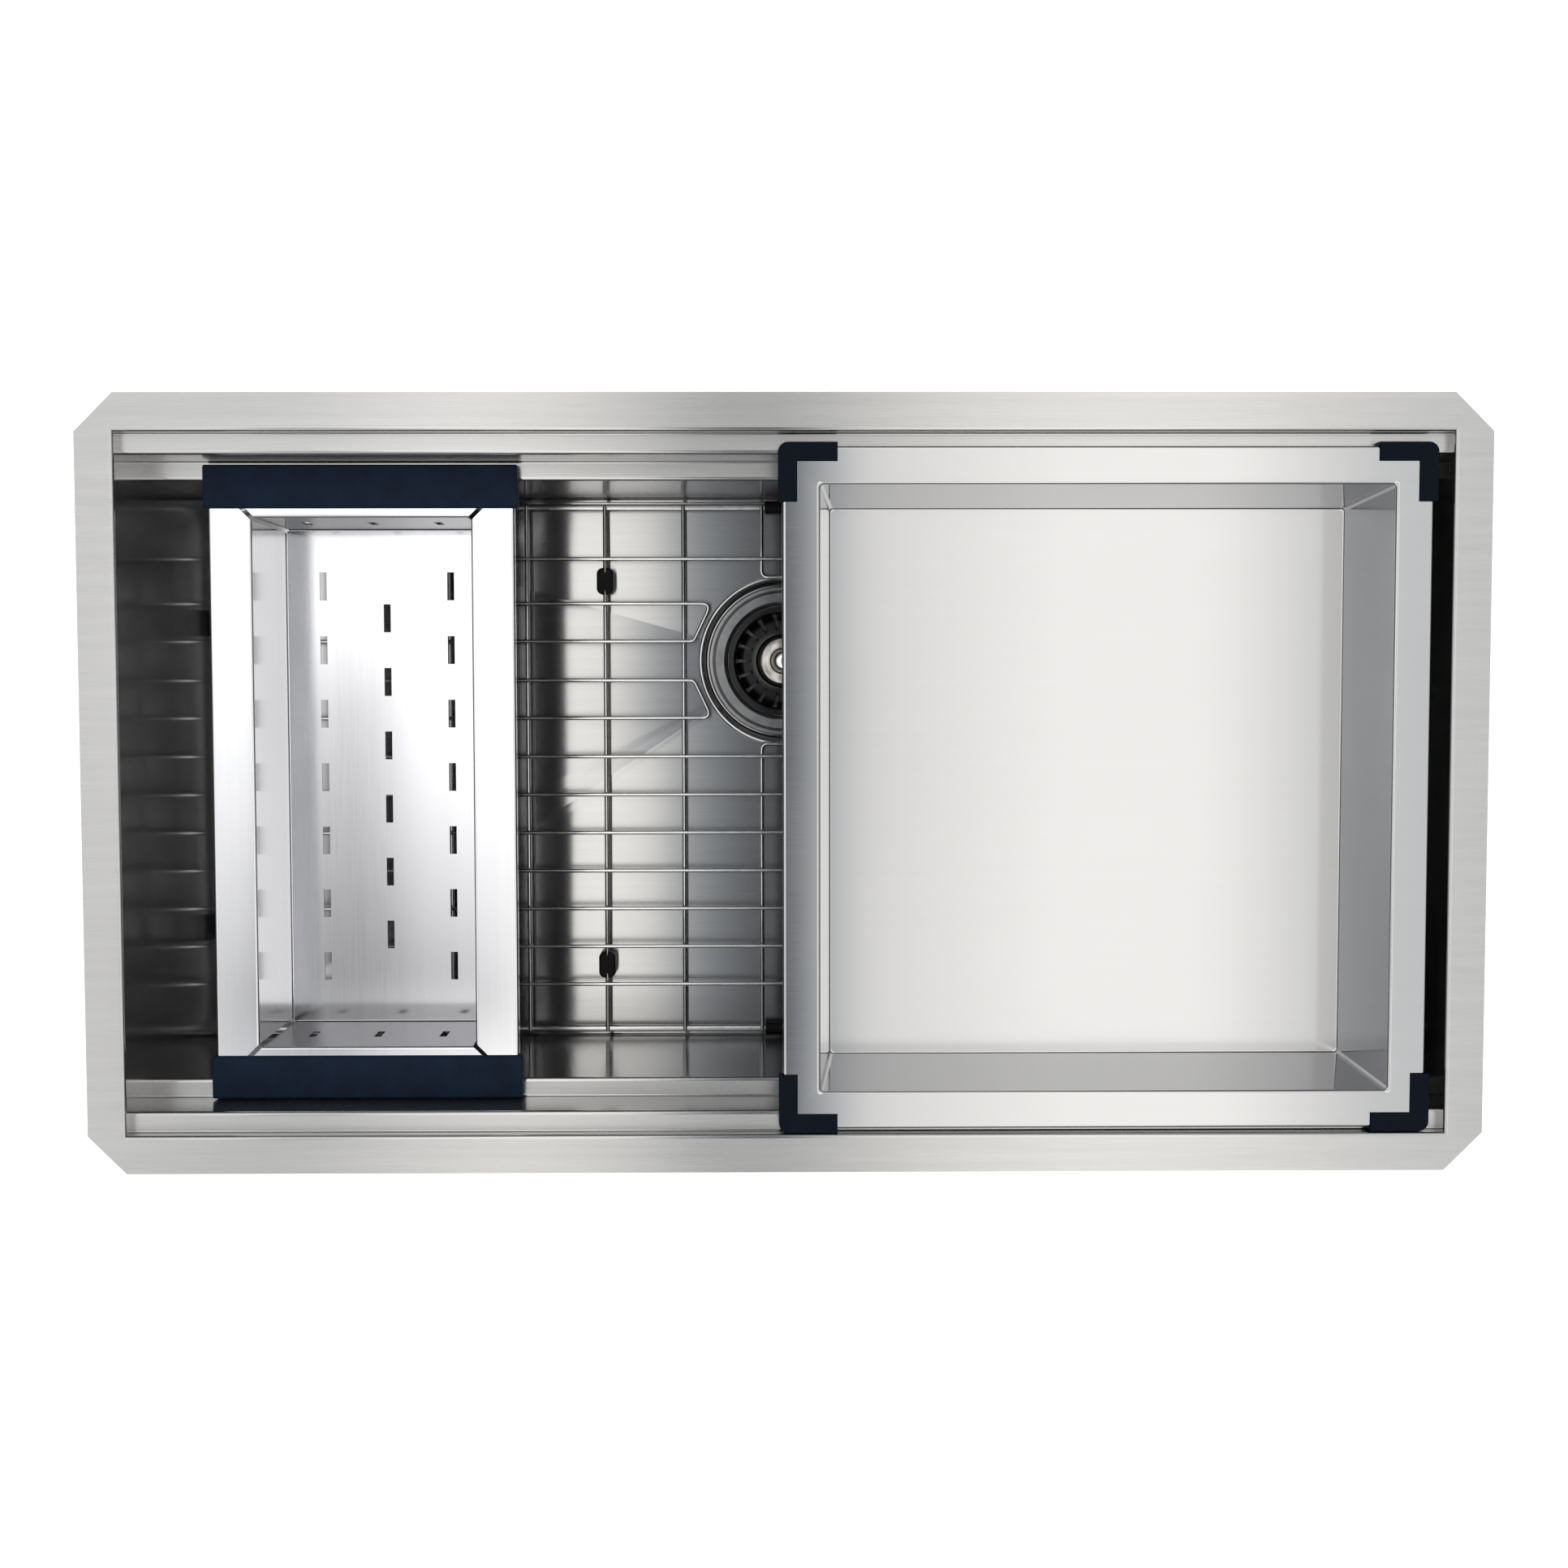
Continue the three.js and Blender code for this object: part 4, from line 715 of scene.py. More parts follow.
def lugged_nut(levels, lug, count, share):
    """A nut turned from levels of (outer radius, inner radius, z) with soft lugs round it."""
    def swell(angle):
        place = (angle / (2 * pi) * count) % 1
        rise = min(1, min(place, abs(place - share), 1 - place) / LUG_EASE) / 2
        return 0.5 + rise if place < share else 0.5 - rise

    sides = [(outer, lug, z) for outer, _, z in levels] + [(inner, 0, z) for _, inner, z in reversed(levels)]
    rings = [[about_drain(r + size * swell(a), a, z) for a in around(NUT_STEPS)] for r, size, z in sides]
    return Surface().rings(rings, loop=True)


LOCK_NUT_RADIUS = 51.0
LOCK_NUT_LUG = 5.0
COUPLING_RIDGE = 1.2
COUPLING_LIP = 3.0
TAILPIECE_RADIUS = 19.05
TAILPIECE_WALL = 1.2


def add_drain():
    throat = THROAT_RADIUS + THROAT_WALL + FIT
    add_piece("strainer_body", strainer_body(), "strainer")
    for node, inner, finish in (("flange_putty_ring", DRAIN_HOLE_RADIUS + FIT, "putty"),
                                ("drain_rubber_washer", throat, "black_rubber"),
                                ("drain_friction_ring", throat, "fibre"),
                                ("tailpiece_washer", OUTLET_RADIUS + 0.5, "plastic")):
        add_piece(node, flat_ring(node, inner), finish)

    low, high, _ = turned_size("drain_lock_nut")
    outer = LOCK_NUT_RADIUS
    soft = 0.8
    levels = [(outer - soft, throat + soft, low), (outer, throat, low + soft),
              (outer, throat, high - soft), (outer - soft, throat + soft, high)]
    add_piece("drain_lock_nut", lugged_nut(levels, LOCK_NUT_LUG, 8, 0.3), "plastic")

    low, high, outer = turned_size("coupling_nut")
    outer -= COUPLING_RIDGE
    neck = TAILPIECE_RADIUS + FIT
    bore = OUTLET_RADIUS + BOSS + FIT
    lip = low + COUPLING_LIP
    levels = [(outer - soft, neck, low), (outer, neck, low + soft), (outer, neck, lip),
              (outer, bore, lip + 0.01), (outer, bore, high - soft), (outer - soft, bore, high)]
    add_piece("coupling_nut", lugged_nut(levels, COUPLING_RIDGE, 12, 0.42), "plastic")

    low, high, lip = turned_size("tailpiece")
    outer, wall = TAILPIECE_RADIUS, TAILPIECE_WALL
    profile = [(outer - wall, high), *near(outer, low, (-wall, 0.3), (-wall / 2, 0), (0, 0.3)),
               *near(outer, high - wall, (0, -1), (0.3, -0.3), (1, 0)),
               (lip - 0.4, high - wall), (lip, high - wall / 2), (lip - 0.4, high)]
    add_piece("tailpiece", turned(profile, 80), "chrome")


BASKET_SHEET = 1.0
BASKET_DEPTH = 22.0
BASKET_FLOOR_RADIUS = 33.0
BASKET_FOLD = 2.2
BASKET_SLOTS = 18
BASKET_SLOT_WIDTH = 2.4
BASKET_SLOT_FROM = 25.0  # radius at the slots' inner ends
BASKET_SLOT_RISE = 9.24  # above the basket's floor
DOME_RADIUS = 20.0
DOME_RISE = 14.0
DISH_DEPTH = 3.6
DISH_RADIUS = 9.0
POST_HOLE = 3.3
POST_RADIUS = 3.0
AXIS = 0.01  # radius of a turned part's points on its axis


def basket_cup():
    """The basket's visible skin, with slots across the fold between its floor and its side."""
    _, z_rim, rim = turned_size("basket_cup")
    z_floor = z_rim - BASKET_DEPTH
    z_slot = z_floor + BASKET_SLOT_RISE
    z_top = z_floor + DOME_RISE
    side_top = rim - 5.2
    rise = (BASKET_SLOT_RISE - BASKET_FOLD) / (BASKET_DEPTH - 1.6 - BASKET_FOLD)
    slot_radius = BASKET_FLOOR_RADIUS + (side_top - BASKET_FLOOR_RADIUS) * rise
    side = near(rim, z_rim, (0, -0.35), (-0.35, 0)) + near(side_top, z_rim, (1.6, 0), (0.7, -0.35), (0, -1.6))
    fold_radius = BASKET_FLOOR_RADIUS - BASKET_FOLD
    floor = [(slot_radius, z_slot), (BASKET_FLOOR_RADIUS, z_floor + BASKET_FOLD),
             *arc(fold_radius, z_floor + BASKET_FOLD, BASKET_FOLD, (-0.4, -0.8, -1.2)),
             (fold_radius, z_floor), (BASKET_SLOT_FROM, z_floor), (DOME_RADIUS + 2.2, z_floor)]
    dome = near(DOME_RADIUS, z_floor, (1, 0.3), (-0.4, DOME_RISE * 0.3), (-1.3, DOME_RISE * 0.62))
    dome += near(DOME_RADIUS, z_top, (-2, -2.9), (-3.4, -2), (-6, -1.3), (-8.4, -0.85))
    dome += near(DISH_RADIUS, z_top, (1, -0.7), (0.3, 0.6 - DISH_DEPTH))
    dish = [(DISH_RADIUS - 0.6, z_top - DISH_DEPTH), (POST_HOLE, z_top - DISH_DEPTH)]
    profile = side + floor + curve_through(dome) + dish
    slot_rows = range(profile.index((slot_radius, z_slot)), profile.index((BASKET_SLOT_FROM, z_floor)))
    dome_row = len(side + floor)
    sector = 2 * pi / BASKET_SLOTS
    shares = 4

    def columns(radius):
        opening = min(asin(min(1, BASKET_SLOT_WIDTH / 2 / radius)), sector * 0.24)
        angles = []
        for middle in (i * sector for i in range(BASKET_SLOTS)):
            angles.append(middle - opening)
            angles += [middle + opening + (sector - 2 * opening) * k / shares for k in range(shares)]
        return angles

    rings = [[about_drain(r, a, z) for a in columns(r)] for r, z in profile]
    count = len(rings[0])
    surface = Surface()
    for row, (ring, after) in enumerate(zip(rings, rings[1:])):
        for i in range(count):
            if row not in slot_rows or i % (shares + 1):
                j = (i + 1) % count
                # Rows from the dome inwards take the lighter finish; the rest of the cup takes the near-black
                # one that paints the hollow's shade.
                surface.face(ring[i], ring[j], after[j], after[i], finish=int(row >= dome_row))
    return surface


def add_basket():
    # The cup's finishes: near-black steel as painted shade, and the dome's lighter grey.
    face_up(add_piece("basket_cup", basket_cup(), "basket", "dome", thickness=BASKET_SHEET))

    low, stopper_top, radius = turned_size("basket_stopper")
    profile = [(POST_HOLE, stopper_top), *near(radius, stopper_top, (-5, 0), (-0.6, -1.2), (0, -2)),
               *near(radius, low, (0, 1.2), (-0.5, 0.5), (-2, 0)), (POST_HOLE, low)]
    add_piece("basket_stopper", turned(profile, 72), "black_rubber")

    under = low - 0.3
    z_dish = turned_size("basket_cup")[1] - BASKET_DEPTH + DOME_RISE - DISH_DEPTH
    low, high, _ = turned_size("basket_post")
    shaft = POST_RADIUS
    profile = [(AXIS, low), *near(shaft + 2, low, (-0.5, 0), (0, 0.5)), (shaft + 2, under), (shaft, under),
               *near(shaft, stopper_top, (0, 0.3), (1.5, 0.3), (1.5, 1.8), (0, 1.8)),
               *near(shaft, z_dish, (0, 0.3), (4, 0.3), (3.7, 1.2), (2, 2.2)), (shaft, high), (AXIS, high)]
    add_piece("basket_post", turned(profile, 48), "chrome")

    low, high, radius = turned_size("basket_knob")
    shape = ((0.5, 0.12), (0.52, 0.3), (0.93, 0.5), (1, 0.68), (0.85, 0.88), (0.5, 0.98))
    crown = [(radius * r, low + (high - low) * z) for r, z in shape]
    profile = [(AXIS, low), (radius * 0.55, low), *curve_through(crown + [(AXIS, high)], 4)]
    add_piece("basket_knob", turned(profile, 64), "chrome")


# ---- bottom grid

GRID_CORNER = 16.0
FRAME_WIRE = 5.5
GRID_WIRE = 3.0
RING_WIRE = 3.8
WELD_BITE = 0.4
WIRE_DIP = 12.0
WIRE_BEND = 5.0
HAIRPIN_TURN = 69.5  # distance of a hairpin's bends from the drain's axis
LOOP_HALF_WIDTH = 16.5
CROSS_PITCH = 59.2
CROSS_WIRES_EACH_SIDE = 6

ring_low, ring_high, ring_outer = turned_size("grid_drain_ring")
RING_RADIUS = ring_outer - RING_WIRE / 2
long_high = box_mm("grid_long_wire_1")[1]
Z_LONG = long_high.z - GRID_WIRE / 2
Z_CROSS = Z_LONG - GRID_WIRE - 0.3
Z_FRAME = Z_CROSS + WELD_BITE - (FRAME_WIRE + GRID_WIRE) / 2
Z_LONG_END = Z_FRAME + (FRAME_WIRE + GRID_WIRE) / 2 + 0.3
GRID_END = long_high.x
grid_low, grid_high = box_mm("grid_frame")
GRID_HALF = [(grid_high[i] - grid_low[i]) / 2 - FRAME_WIRE / 2 for i in (0, 1)]
GRID_Y = (grid_high.y + grid_low.y) / 2
WIRE_FALL = GRID_END - FRAME_WIRE - WIRE_DIP  # where a long wire starts to dip


def long_wire_ends(side, y):
    """Points of a long wire's dipped end, from its tip inwards."""
    dip = near(GRID_END, Z_LONG_END, (0, 0), (-FRAME_WIRE, 0), (-FRAME_WIRE - 2, 0.2))
    dip += near(WIRE_FALL, Z_LONG, (2, -0.2), (0, 0))
    return [(side * x, y, z) for x, z in dip]


def add_wire(node, surface):
    add_piece(node, surface, "wire", sharp=60, even=False)


def add_grid():
    surface = Surface()
    loop = [(x, y + GRID_Y, Z_FRAME) for x, y in rounded_rectangle(*GRID_HALF, GRID_CORNER, 12)]
    sweep(surface, loop, FRAME_WIRE, closed=True, sides=24)
    reach = GRID_HALF[1] + GRID_WIRE / 2
    for k in range(1, CROSS_WIRES_EACH_SIDE + 1):
        for side in (-1, 1):
            x = side * (LOOP_HALF_WIDTH + CROSS_PITCH * k)
            sweep(surface, [(x, GRID_Y - reach, Z_CROSS), (x, GRID_Y + reach, Z_CROSS)], GRID_WIRE)
    for side in (-1, 1):
        far, close = GRID_Y + side * reach, DRAIN.y + side * (RING_RADIUS + 0.6)
        plan = ((-1, far), (-1, close), (1, close), (1, far))
        corners = [(sign * LOOP_HALF_WIDTH, y, Z_CROSS) for sign, y in plan]
        sweep(surface, bent_path(corners, WIRE_BEND), GRID_WIRE)
    add_wire("grid_frame", surface)

    circle = [about_drain(RING_RADIUS, a, (ring_low + ring_high) / 2) for a in around(96)]
    add_wire("grid_drain_ring", sweep(Surface(), circle, RING_WIRE, closed=True, sides=20))

    for node in frame["nodes"]:
        low, high = box_mm(node)
        if node.startswith("grid_long_wire"):
            y = (low.y + high.y) / 2
            points = long_wire_ends(-1, y) + long_wire_ends(1, y)[::-1]
            add_wire(node, sweep(Surface(), points, GRID_WIRE))
        elif node.startswith("grid_hairpin"):
            side = 1 if node.endswith("right") else -1
            ys = sorted((low.y + GRID_WIRE / 2, high.y - GRID_WIRE / 2), key=lambda y: abs(y - DRAIN.y))
            start, end = (long_wire_ends(side, y) for y in ys)
            turns = [(side * sqrt(HAIRPIN_TURN ** 2 - (y - DRAIN.y) ** 2), y, Z_LONG) for y in ys]
            points = start[:-1] + bent_path([start[-1], *turns, end[-1]], WIRE_BEND) + end[:-1][::-1]
            add_wire(node, sweep(Surface(), points, GRID_WIRE))


FOOT_EDGE = 1.6
GROOVE_RADIUS = 1.8
SLIT_WIDTH = 0.8


def add_foot(node):
    """A rubber foot with a groove for its wire, a slit below it and a notch at either end."""
    low, high = box_mm(node)
    middle, half = (low + high) / 2, (high - low) / 2
    shapes = []
    for inset, z in rounded_levels(low.z, high.z, FOOT_EDGE, (90, 65, 40, 20, 0)):
        outline = rounded_rectangle(half.x - inset, half.y - inset, half.x * 0.72 - inset * 0.8)
        shapes.append(placed(outline, middle, z))
    foot = add_piece(node, Surface().rings(shapes, ends=True), "black_rubber")

    groove = arc(middle.x, Z_CROSS, GROOVE_RADIUS, around(20))
    left, right = middle.x - SLIT_WIDTH / 2, middle.x + SLIT_WIDTH / 2
    slit = [(left, low.z - 1), (right, low.z - 1), (right, Z_CROSS), (left, Z_CROSS)]
    ends = (low.y - 2, high.y + 2)
    cutters = [Surface().rings([[(x, y, z) for x, z in section] for y in ends], ends=True)
               for section in (groove, slit)]
    for end in (-1, 1):
        plan = [(0, end * (half.y - 4)), (1.6, end * (half.y + 1)), (-1.6, end * (half.y + 1))]
        cutters.append(block(plan, middle, Z_CROSS, high.z + 1))
    carve(foot, *cutters)


BUMPER_EDGE = 0.7


def add_bumper(node):
    """A rubber sleeve round the frame wire."""
    low, high = box_mm(node)
    middle, half = (low + high) / 2, (high - low) / 2
    along_y = half.y > half.x
    length, outer = max(half.x, half.y), half.z
    inner = FRAME_WIRE / 2 + FIT
    edge = arc(length - BUMPER_EDGE, outer - BUMPER_EDGE, BUMPER_EDGE, (0, 0.5, 1.0, pi / 2))
    profile = [(-length, inner), *[(-t, r) for t, r in edge], *reversed(edge), (length, inner)]
    rings = []
    for angle in around(40):
        spokes = [(t, r * cos(angle), r * sin(angle)) for t, r in profile]
        rings.append([middle + Vector((a, t, b) if along_y else (t, a, b)) for t, a, b in spokes])
    add_piece(node, Surface().rings(rings, loop=True), "black_rubber")


# ---- colander and tray

RIM_RETURN = 7.0
PAN_SHEET = 1.0
PAN_DEPTH = 90.0
PAN_LEAN = 2.0
SIDE_RIM = 29.0
END_RIM = 32.4
CORNER_SLIT = 3.0
SLOT_LENGTH = 20.0
SLOT_WIDTH = 5.0
SLOT_PITCH = 45.4
SLOT_ROWS = 7
END_SLOT_DROP = 34.0
END_SLOT_LENGTH = 18.0

colander_low, colander_high = box_mm("colander_pan")
COLANDER = (colander_low + colander_high) / 2
Z_COLANDER = colander_high.z
HALF_X = (colander_high.x - colander_low.x) / 2 - SIDE_RIM
HALF_Y = (colander_high.y - colander_low.y) / 2 - END_RIM


def pan_section(half, rim):
    """Visible face of one wall, from the floor over the rim to its folded edge."""
    foot = half - PAN_LEAN
    points = [(foot - 6, -PAN_DEPTH), (foot, -PAN_DEPTH)]
    for drop in (END_SLOT_DROP + END_SLOT_LENGTH, END_SLOT_DROP):
        points.append((foot + PAN_LEAN * (1 - drop / PAN_DEPTH), -drop))
    points += [(half, 0), (half + rim, 0), (half + rim, -RIM_RETURN)]
    return folded(points, -PAN_SHEET)[0][1:]


def colander_skin():
    """The colander's visible skin: a slotted floor and four folded walls, open at the corners."""
    surface = Surface()
    gap = CORNER_SLIT / 2 * sqrt(2)
    half_width, half_length = SLOT_WIDTH / 2, SLOT_LENGTH / 2
    side_section = pan_section(HALF_X, SIDE_RIM)
    end_section = pan_section(HALF_Y, END_RIM)

    def put(x, y, z):
        return (COLANDER.x + x, COLANDER.y + y, Z_COLANDER + z)

    def lines(edge, slot_edges):
        return sorted({round(v, 6) for v in slot_edges} | {-edge, -edge + gap, edge - gap, edge})

    slots = []  # middles of the floor's slots
    for column in (-1, 0, 1):
        rows = SLOT_ROWS - (column == 0)
        slots += [(column * SLOT_PITCH, (row - (rows - 1) / 2) * SLOT_PITCH) for row in range(rows)]
    xs = lines(side_section[0].x, [x + s * half_width for x, _ in slots for s in (-1, 1)])
    ys = lines(end_section[0].x, [y + s * half_length for _, y in slots for s in (-1, 1)])
    for x0, x1 in zip(xs, xs[1:]):
        for y0, y1 in zip(ys, ys[1:]):
            x, y = (x0 + x1) / 2, (y0 + y1) / 2
            if not any(abs(x - sx) < half_width and abs(y - sy) < half_length for sx, sy in slots):
                surface.face(*[put(*at, -PAN_DEPTH) for at in ((x0, y0), (x1, y0), (x1, y1), (x0, y1))])

    def in_end_slot(x, z):
        return (any(abs(x - column * SLOT_PITCH) < half_width for column in (-1, 0, 1))
                and 0 < -END_SLOT_DROP - z < END_SLOT_LENGTH)

    def wall(section, half, other_half, stops, place, slotted):
        for p, q in zip(section, section[1:]):
            for a, b in zip(stops, stops[1:]):
                corners = []
                for r, stop in ((p, a), (p, b), (q, b), (q, a)):
                    if abs(stop) == stops[-1]:
                        stop = copysign(other_half + (r.x - half) - gap, stop)
                    corners.append(place(r.x, stop, r.y))
                # The end walls' rising faces take the second finish, the darker steel that paints shade on
                # them.
                if not (slotted and in_end_slot((a + b) / 2, (p.y + q.y) / 2)):
                    surface.face(*corners, finish=int(slotted and p.y < min(q.y, -0.5)))

    for side in (-1, 1):
        wall(side_section, HALF_X, HALF_Y, ys[1:-1], lambda d, t, z: put(side * d, t, z), False)
        wall(end_section, HALF_Y, HALF_X, xs[1:-1], lambda d, t, z: put(t, side * d, z), True)
    return surface


GRIP_WALL = 2.2
GRIP_TOP = 3.2
GRIP_INSET = 6.0
GRIP_BEVEL = 4.5
GRIP_FOOT = 1.2
GRIP_EDGE = 2.0
GRIP_LIP = 8.0  # how far its foot reaches in below the rim


def add_grip(node, side):
    """A silicone boot over one end rim, open underneath and closed at both ends."""
    rim = HALF_Y + END_RIM
    outer = rim + FIT + GRIP_WALL
    inner = HALF_Y + GRIP_INSET
    foot_top = -RIM_RETURN - FIT
    bottom = foot_top - GRIP_FOOT
    skin = near(inner, 0, (0, FIT), (0, FIT + 0.4), (0.25, FIT + 1), (GRIP_BEVEL * 0.35, GRIP_TOP * 0.75),
                (GRIP_BEVEL * 0.7, GRIP_TOP * 0.94), (GRIP_BEVEL + 0.8, GRIP_TOP))
    skin += quarter(outer - GRIP_EDGE, GRIP_TOP - GRIP_EDGE, GRIP_EDGE, 90, 6)
    skin += quarter(outer - 1, bottom + 1, 1, 0, 4)
    hollow = [(rim - GRIP_LIP, bottom), (rim - GRIP_LIP, foot_top), (rim + FIT, foot_top), (rim + FIT, FIT)]
    tail = [(inner + 10, bottom), (inner, foot_top)]
    half = HALF_X + SIDE_RIM + FIT
    centre = ((inner + outer) / 2, (GRIP_TOP + bottom) / 2)
    span = (outer - inner, GRIP_TOP - bottom)

    def place(x, p, shrink=0.0):
        y, z = (m + (v - m) * (1 - 2 * shrink / size) for v, m, size in zip(p, centre, span))
        return (COLANDER.x + x, COLANDER.y + side * y, Z_COLANDER + z)

    surface = Surface().rings([[place(x, p) for p in skin + hollow] for x in (-half, half)])
    for end in (-1, 1):
        layers = [(half, 0)] + near(half + GRIP_WALL, 0, (-1.2, 0), (-0.7, 0.1), (-0.25, 0.4), (0, 1.1))
        rings = [[place(end * x, p, shrink) for p in skin + hollow[:1] + tail] for x, shrink in layers]
        surface.rings(rings).face(*rings[-1])
        surface.face(*[place(end * half, p) for p in skin[:1] + hollow[::-1] + tail])
    add_piece(node, surface, "silicone")


TRAY_SHEET = 1.2
TRAY_RIM = 24.5
TRAY_DEPTH = 88.0
TRAY_LEAN = 9.0
TRAY_CORNER = 5.0
TRAY_INNER_CORNER = 2.5
TRAY_RETURN = 7.5
TRAY_MARGIN = 20.0

tray_low, tray_high = box_mm("tray_pan")
TRAY = (tray_low + tray_high) / 2
TRAY_HALF = (tray_high - tray_low) / 2
Z_TRAY = tray_high.z


def tray_skin():
    """The welded tray: both sides of its sheet, ring by ring from the folded edge inwards."""
    foot = TRAY_RIM + TRAY_LEAN
    section = [(0, -TRAY_RETURN), (0, 0), (TRAY_RIM, 0), (foot, -TRAY_DEPTH)]
    face, back = folded([*section, (foot + TRAY_MARGIN, -TRAY_DEPTH)], -TRAY_SHEET)

    def ring(p, extra):
        radius = TRAY_CORNER + (TRAY_INNER_CORNER - TRAY_CORNER) * min(1, p.x / TRAY_RIM) + extra
        outline = rounded_rectangle(TRAY_HALF.x - p.x, TRAY_HALF.y - p.x, max(radius, 0.4))
        return placed(outline, TRAY, Z_TRAY + p.y)

    outer_fold = FOLD + TRAY_SHEET
    rings = [ring(p, 0) for p in reversed(face)]
    rings += [ring(p, TRAY_SHEET if p.x > outer_fold else -TRAY_SHEET) for p in back]
    return Surface().rings(rings, ends=True)


GUARD_ARM = 38.5
GUARD_WIDTH = 12.4
GUARD_WALL = 2.3
GUARD_TOP = 1.2
GUARD_FOOT = 1.2
GUARD_EDGE = 0.9


def add_guard(node):
    """A silicone L over, outside and under one corner of the tray's rim."""
    low, high = box_mm(node)
    sign_x, sign_y = (copysign(1, (low[i] + high[i]) / 2 - TRAY[i]) for i in (0, 1))
    corner_x, corner_y = (TRAY_HALF[i] + FIT + GUARD_WALL for i in (0, 1))
    radius = TRAY_CORNER + 1.5

    def plan(inset, z):
        out, far, end = -inset, inset - GUARD_WIDTH, inset - GUARD_ARM  # from the corner
        bend = arc(-radius, -radius, radius - inset, [pi / 2 * k / 9 for k in range(10)])
        outline = [(far, far), (far, end), (out, end), *bend, (end, out), (end, far)]
        outline = [(sign_x * (corner_x + x), sign_y * (corner_y + y)) for x, y in outline]
        return placed(outline, TRAY, Z_TRAY + z)

    levels = rounded_levels(-TRAY_RETURN - FIT - GUARD_FOOT, FIT + GUARD_TOP, GUARD_EDGE, (90, 60, 30, 0))
    guard = add_piece(node, Surface().rings([plan(*level) for level in levels], ends=True), "guard")
    hollow = rounded_rectangle(TRAY_HALF.x + FIT, TRAY_HALF.y + FIT, TRAY_CORNER + FIT, 10)
    carve(guard, block(hollow, TRAY, Z_TRAY - TRAY_RETURN - FIT, Z_TRAY + FIT))


def add_accessories():
    pan = add_piece("colander_pan", colander_skin(), "colander", "colander_end_shaded", thickness=PAN_SHEET)
    face_up(pan)
    add_grip("colander_grip_rear", 1)
    add_grip("colander_grip_front", -1)
    add_piece("tray_pan", tray_skin(), "tray")
    for node in frame["nodes"]:
        for start, add in (("tray_guard", add_guard), ("grid_foot", add_foot), ("grid_bumper", add_bumper)):
            if node.startswith(start):
                add(node)


PAD_EDGE = 0.6


def soften_pads():
    """The sound pads are the CAD's own, with their edges eased."""
    for name, node in frame["nodes"].items():
        if name.endswith("_pad"):
            node.data.materials.clear()
            node.data.materials.append(materials["pad"])
            eased = node.modifiers.new("eased_edges", "BEVEL")
            assign(eased, width=PAD_EDGE * MM, segments=3, limit_method="ANGLE", angle_limit=radians(30))


add_bowl()
add_drain()
add_basket()
add_grid()
add_accessories()
soften_pads()

# ---- studio, in metres

FLOOR_HEIGHT = cad_box[0].z - 2 * MM
FLOOR_GLOW = 0.3  # the table's own light
FAR_GLOW = 0.8
GLOW_RISE = (3.0, 7.0)  # from the middle
BACKDROP_RADIUS = 18.0
BACKDROP_HEIGHT = 60.0
BACKDROP_SIDES = 64
WORLD_LIGHT = 0.3
WASH_LIGHT = 0.4  # lights the table and the rubber, and no metal
STAGE_SIZE = 20.0  # from the middle to each side
WASH_SIZE = 4.0

# A white ceiling: its brightness from left to right (place, brightness), dim over the camera
CEILING = 2.0  # above the flange
CEILING_SIZE = 4.0
CEILING_STOPS = (
    (-1.3, 1.3), (-1.0, 1.15), (-0.88, 0.95), (-0.75, 0.8), (-0.6, 1.75), (-0.3, 1.7), (-0.23, 1.45),
    (-0.18, 0.72), (-0.14, 0.48), (-0.1, 0.36), (-0.03, 0.14), (0.01, 0.12), (0.15, 1.4), (0.5, 1.8),
    (0.75, 1.8), (1.0, 1.1),
)
COOL_LIGHT = (0.92, 0.98, 1.04, 1)  # of its dim parts
WARM_LIGHT = (1.01, 1.0, 0.965, 1)  # and of its bright parts
# A bright panel hangs lower, over the left: middle, half sizes and soft edge
PANEL_HEIGHT = 1.0
PANEL_MIDDLE = (-0.5, -0.04)
PANEL_HALF = (0.19, 0.33)
PANEL_EDGE = 0.06
PANEL_FRONT = (-0.34, 0.72)  # where it is dimmest, and how bright
PANEL_REAR = (0.02, 2.1)  # where it reaches its full brightness
# and one part of it, towards its front left, that is dimmer still
DIM_LEFT = (-0.625, -0.595)
DIM_RIGHT = (-0.455, -0.51)
DIM_REAR = (0.13, 0.02)
DIM_REST = 0.35  # how much of the dimming reaches its rear
DIM_DEPTH = 0.6


def stage_mesh(name, points, faces):
    mesh = bpy.data.meshes.new(name)
    mesh.from_pydata(points, [], faces)
    thing = new_object(name, mesh)
    return thing


def stage_plate(name, height, x, y):
    corners = ((-x, -y, height), (x, -y, height), (x, y, height), (-x, y, height))
    return stage_mesh(name, corners, [(0, 1, 2, 3)])


def make_floor():
    floor = stage_plate("studio_floor", FLOOR_HEIGHT, STAGE_SIZE, STAGE_SIZE)
    n = Nodes("studio_floor")
    n.set(Base_Color=n.mix(n.noise(3.0), (0.89, 0.89, 0.89, 1), (0.91, 0.91, 0.91, 1)))
    n.set(Roughness=0.9, Specular_IOR_Level=0.1)
    from_below = n.add("NewGeometry").outputs["Backfacing"]
    n.set(Alpha=n.ramp(from_below, 1, 0, 0, 1))  # it doesn't hide the sink's underside
    away = n.add("VectorMath", {0: n.coordinates()}, operation="LENGTH").outputs["Value"]
    n.set(Emission_Color=(1, 1, 1, 1), Emission_Strength=n.ramp(away, FLOOR_GLOW, FAR_GLOW, *GLOW_RISE))
    floor.data.materials.append(n.material)


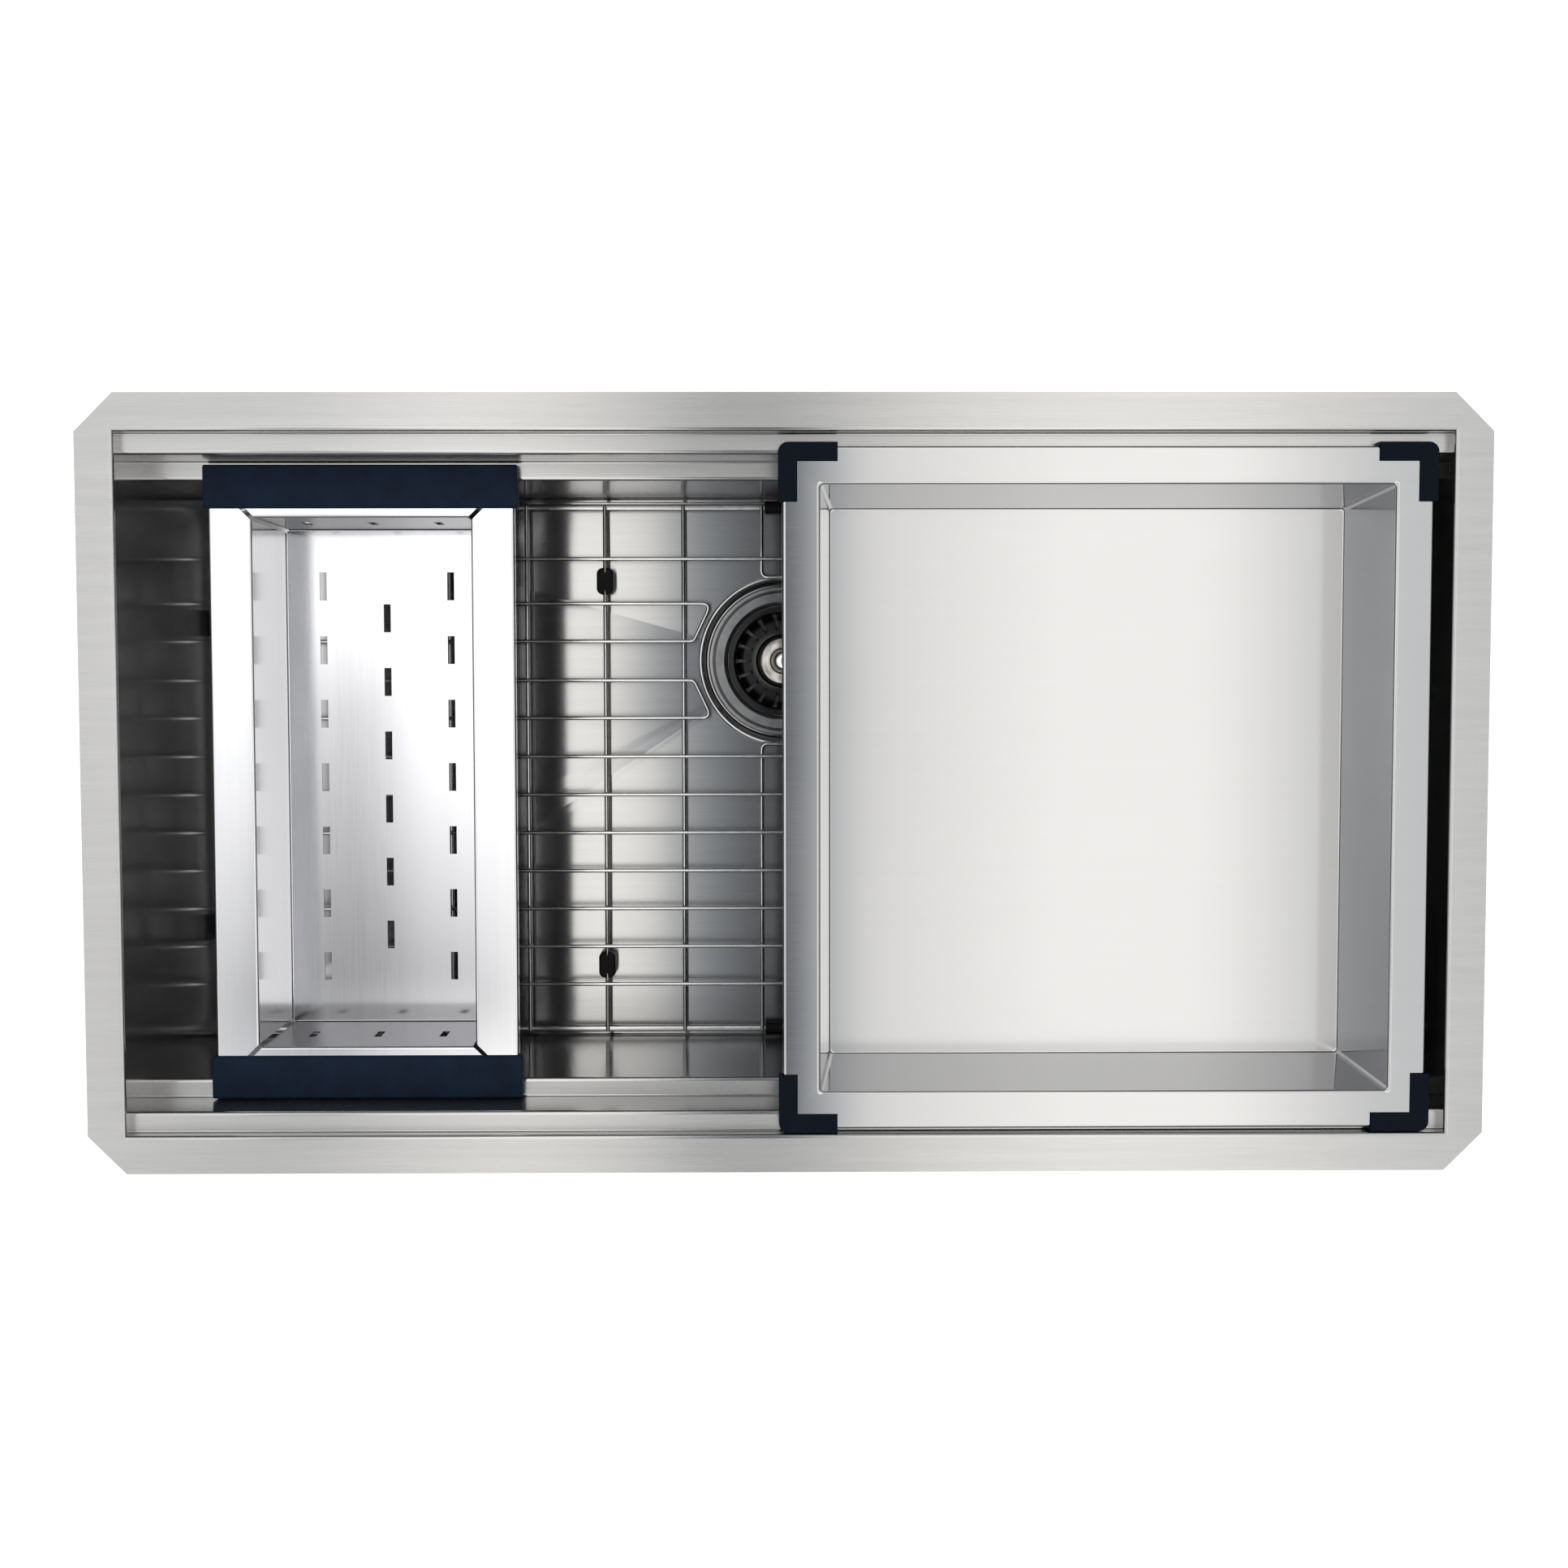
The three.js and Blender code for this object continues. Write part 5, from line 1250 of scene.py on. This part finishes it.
def make_backdrop():
    """A pale wall far round the sink, which only the camera sees."""
    points = [(cos(a) * BACKDROP_RADIUS, sin(a) * BACKDROP_RADIUS, z)
              for z in (FLOOR_HEIGHT, BACKDROP_HEIGHT) for a in around(BACKDROP_SIDES)]
    count = BACKDROP_SIDES
    faces = [(k, (k + 1) % count, count + (k + 1) % count, count + k) for k in range(count)]
    wall = stage_mesh("studio_backdrop", points, faces)
    wall.visible_diffuse = wall.visible_glossy = wall.visible_transmission = wall.visible_shadow = False
    wall.data.materials.append(Nodes("studio_backdrop").glow(1.0, Roughness=1.0))


def make_ceiling():
    ceiling = stage_plate("studio_ceiling", CEILING, CEILING_SIZE, CEILING_SIZE)
    ceiling.visible_camera = False
    n = Nodes("studio_ceiling")
    across = n.axes()[0]
    bright = CEILING_STOPS[0][1]
    for (x0, start), (x1, end) in zip(CEILING_STOPS, CEILING_STOPS[1:]):
        bright = n.maths("ADD", bright, n.ramp(across, 0, end - start, x0, x1))
    tint = n.mix(n.ramp(bright, 0, 1, 0.4, 1.4), COOL_LIGHT, WARM_LIGHT)
    ceiling.data.materials.append(n.glow(bright, tint))


def make_panel():
    panel = stage_plate("studio_panel", PANEL_HEIGHT, *[size + PANEL_EDGE for size in PANEL_HALF])
    panel.location = (*PANEL_MIDDLE, 0)
    panel.visible_camera = panel.visible_shadow = False
    n = Nodes("studio_panel")
    places = n.axes()

    def span(axis, low, high, start, end):
        return n.ramp(places[axis], low, high, start - PANEL_MIDDLE[axis], end - PANEL_MIDDLE[axis])

    solid = 1.0
    for axis, size in enumerate(PANEL_HALF):
        fade = n.ramp(n.maths("ABSOLUTE", places[axis]), 1, 0, size - PANEL_EDGE, size + PANEL_EDGE)
        solid = n.maths("MULTIPLY", fade, solid)
    (front, least), (rear, full) = PANEL_FRONT, PANEL_REAR
    dim = span(1, DIM_REST, 1, *DIM_REAR)
    for start, end in (DIM_LEFT, DIM_RIGHT):
        dim = n.maths("MULTIPLY", span(0, 0, 1, start, end), dim)
    light = n.maths("MULTIPLY", span(1, least, full, front, rear), n.ramp(dim, 1, 1 - DIM_DEPTH, 0, 1))
    panel.data.materials.append(n.glow(light, Alpha=solid))


def wash_light():
    """A large soft light that isn't mirrored in the steel."""
    data = assign(bpy.data.lights.new("floor_wash", "AREA"), shape="RECTANGLE")
    data.size = data.size_y = WASH_SIZE
    data.energy = WASH_LIGHT * pi * WASH_SIZE ** 2
    light = new_object("floor_wash", data)
    light.location = (0, 0, CEILING - 0.1)
    light.visible_glossy = light.visible_camera = False


def make_world():
    world = bpy.data.worlds.new("studio")
    world.use_nodes = True
    back = world.node_tree.nodes["Background"]
    back.inputs["Color"].default_value = (1, 1, 1, 1)
    back.inputs["Strength"].default_value = WORLD_LIGHT
    scene.world = world


make_camera()
make_floor()
make_backdrop()
make_ceiling()
make_panel()
make_world()
wash_light()
scene.view_settings.view_transform = "Standard"
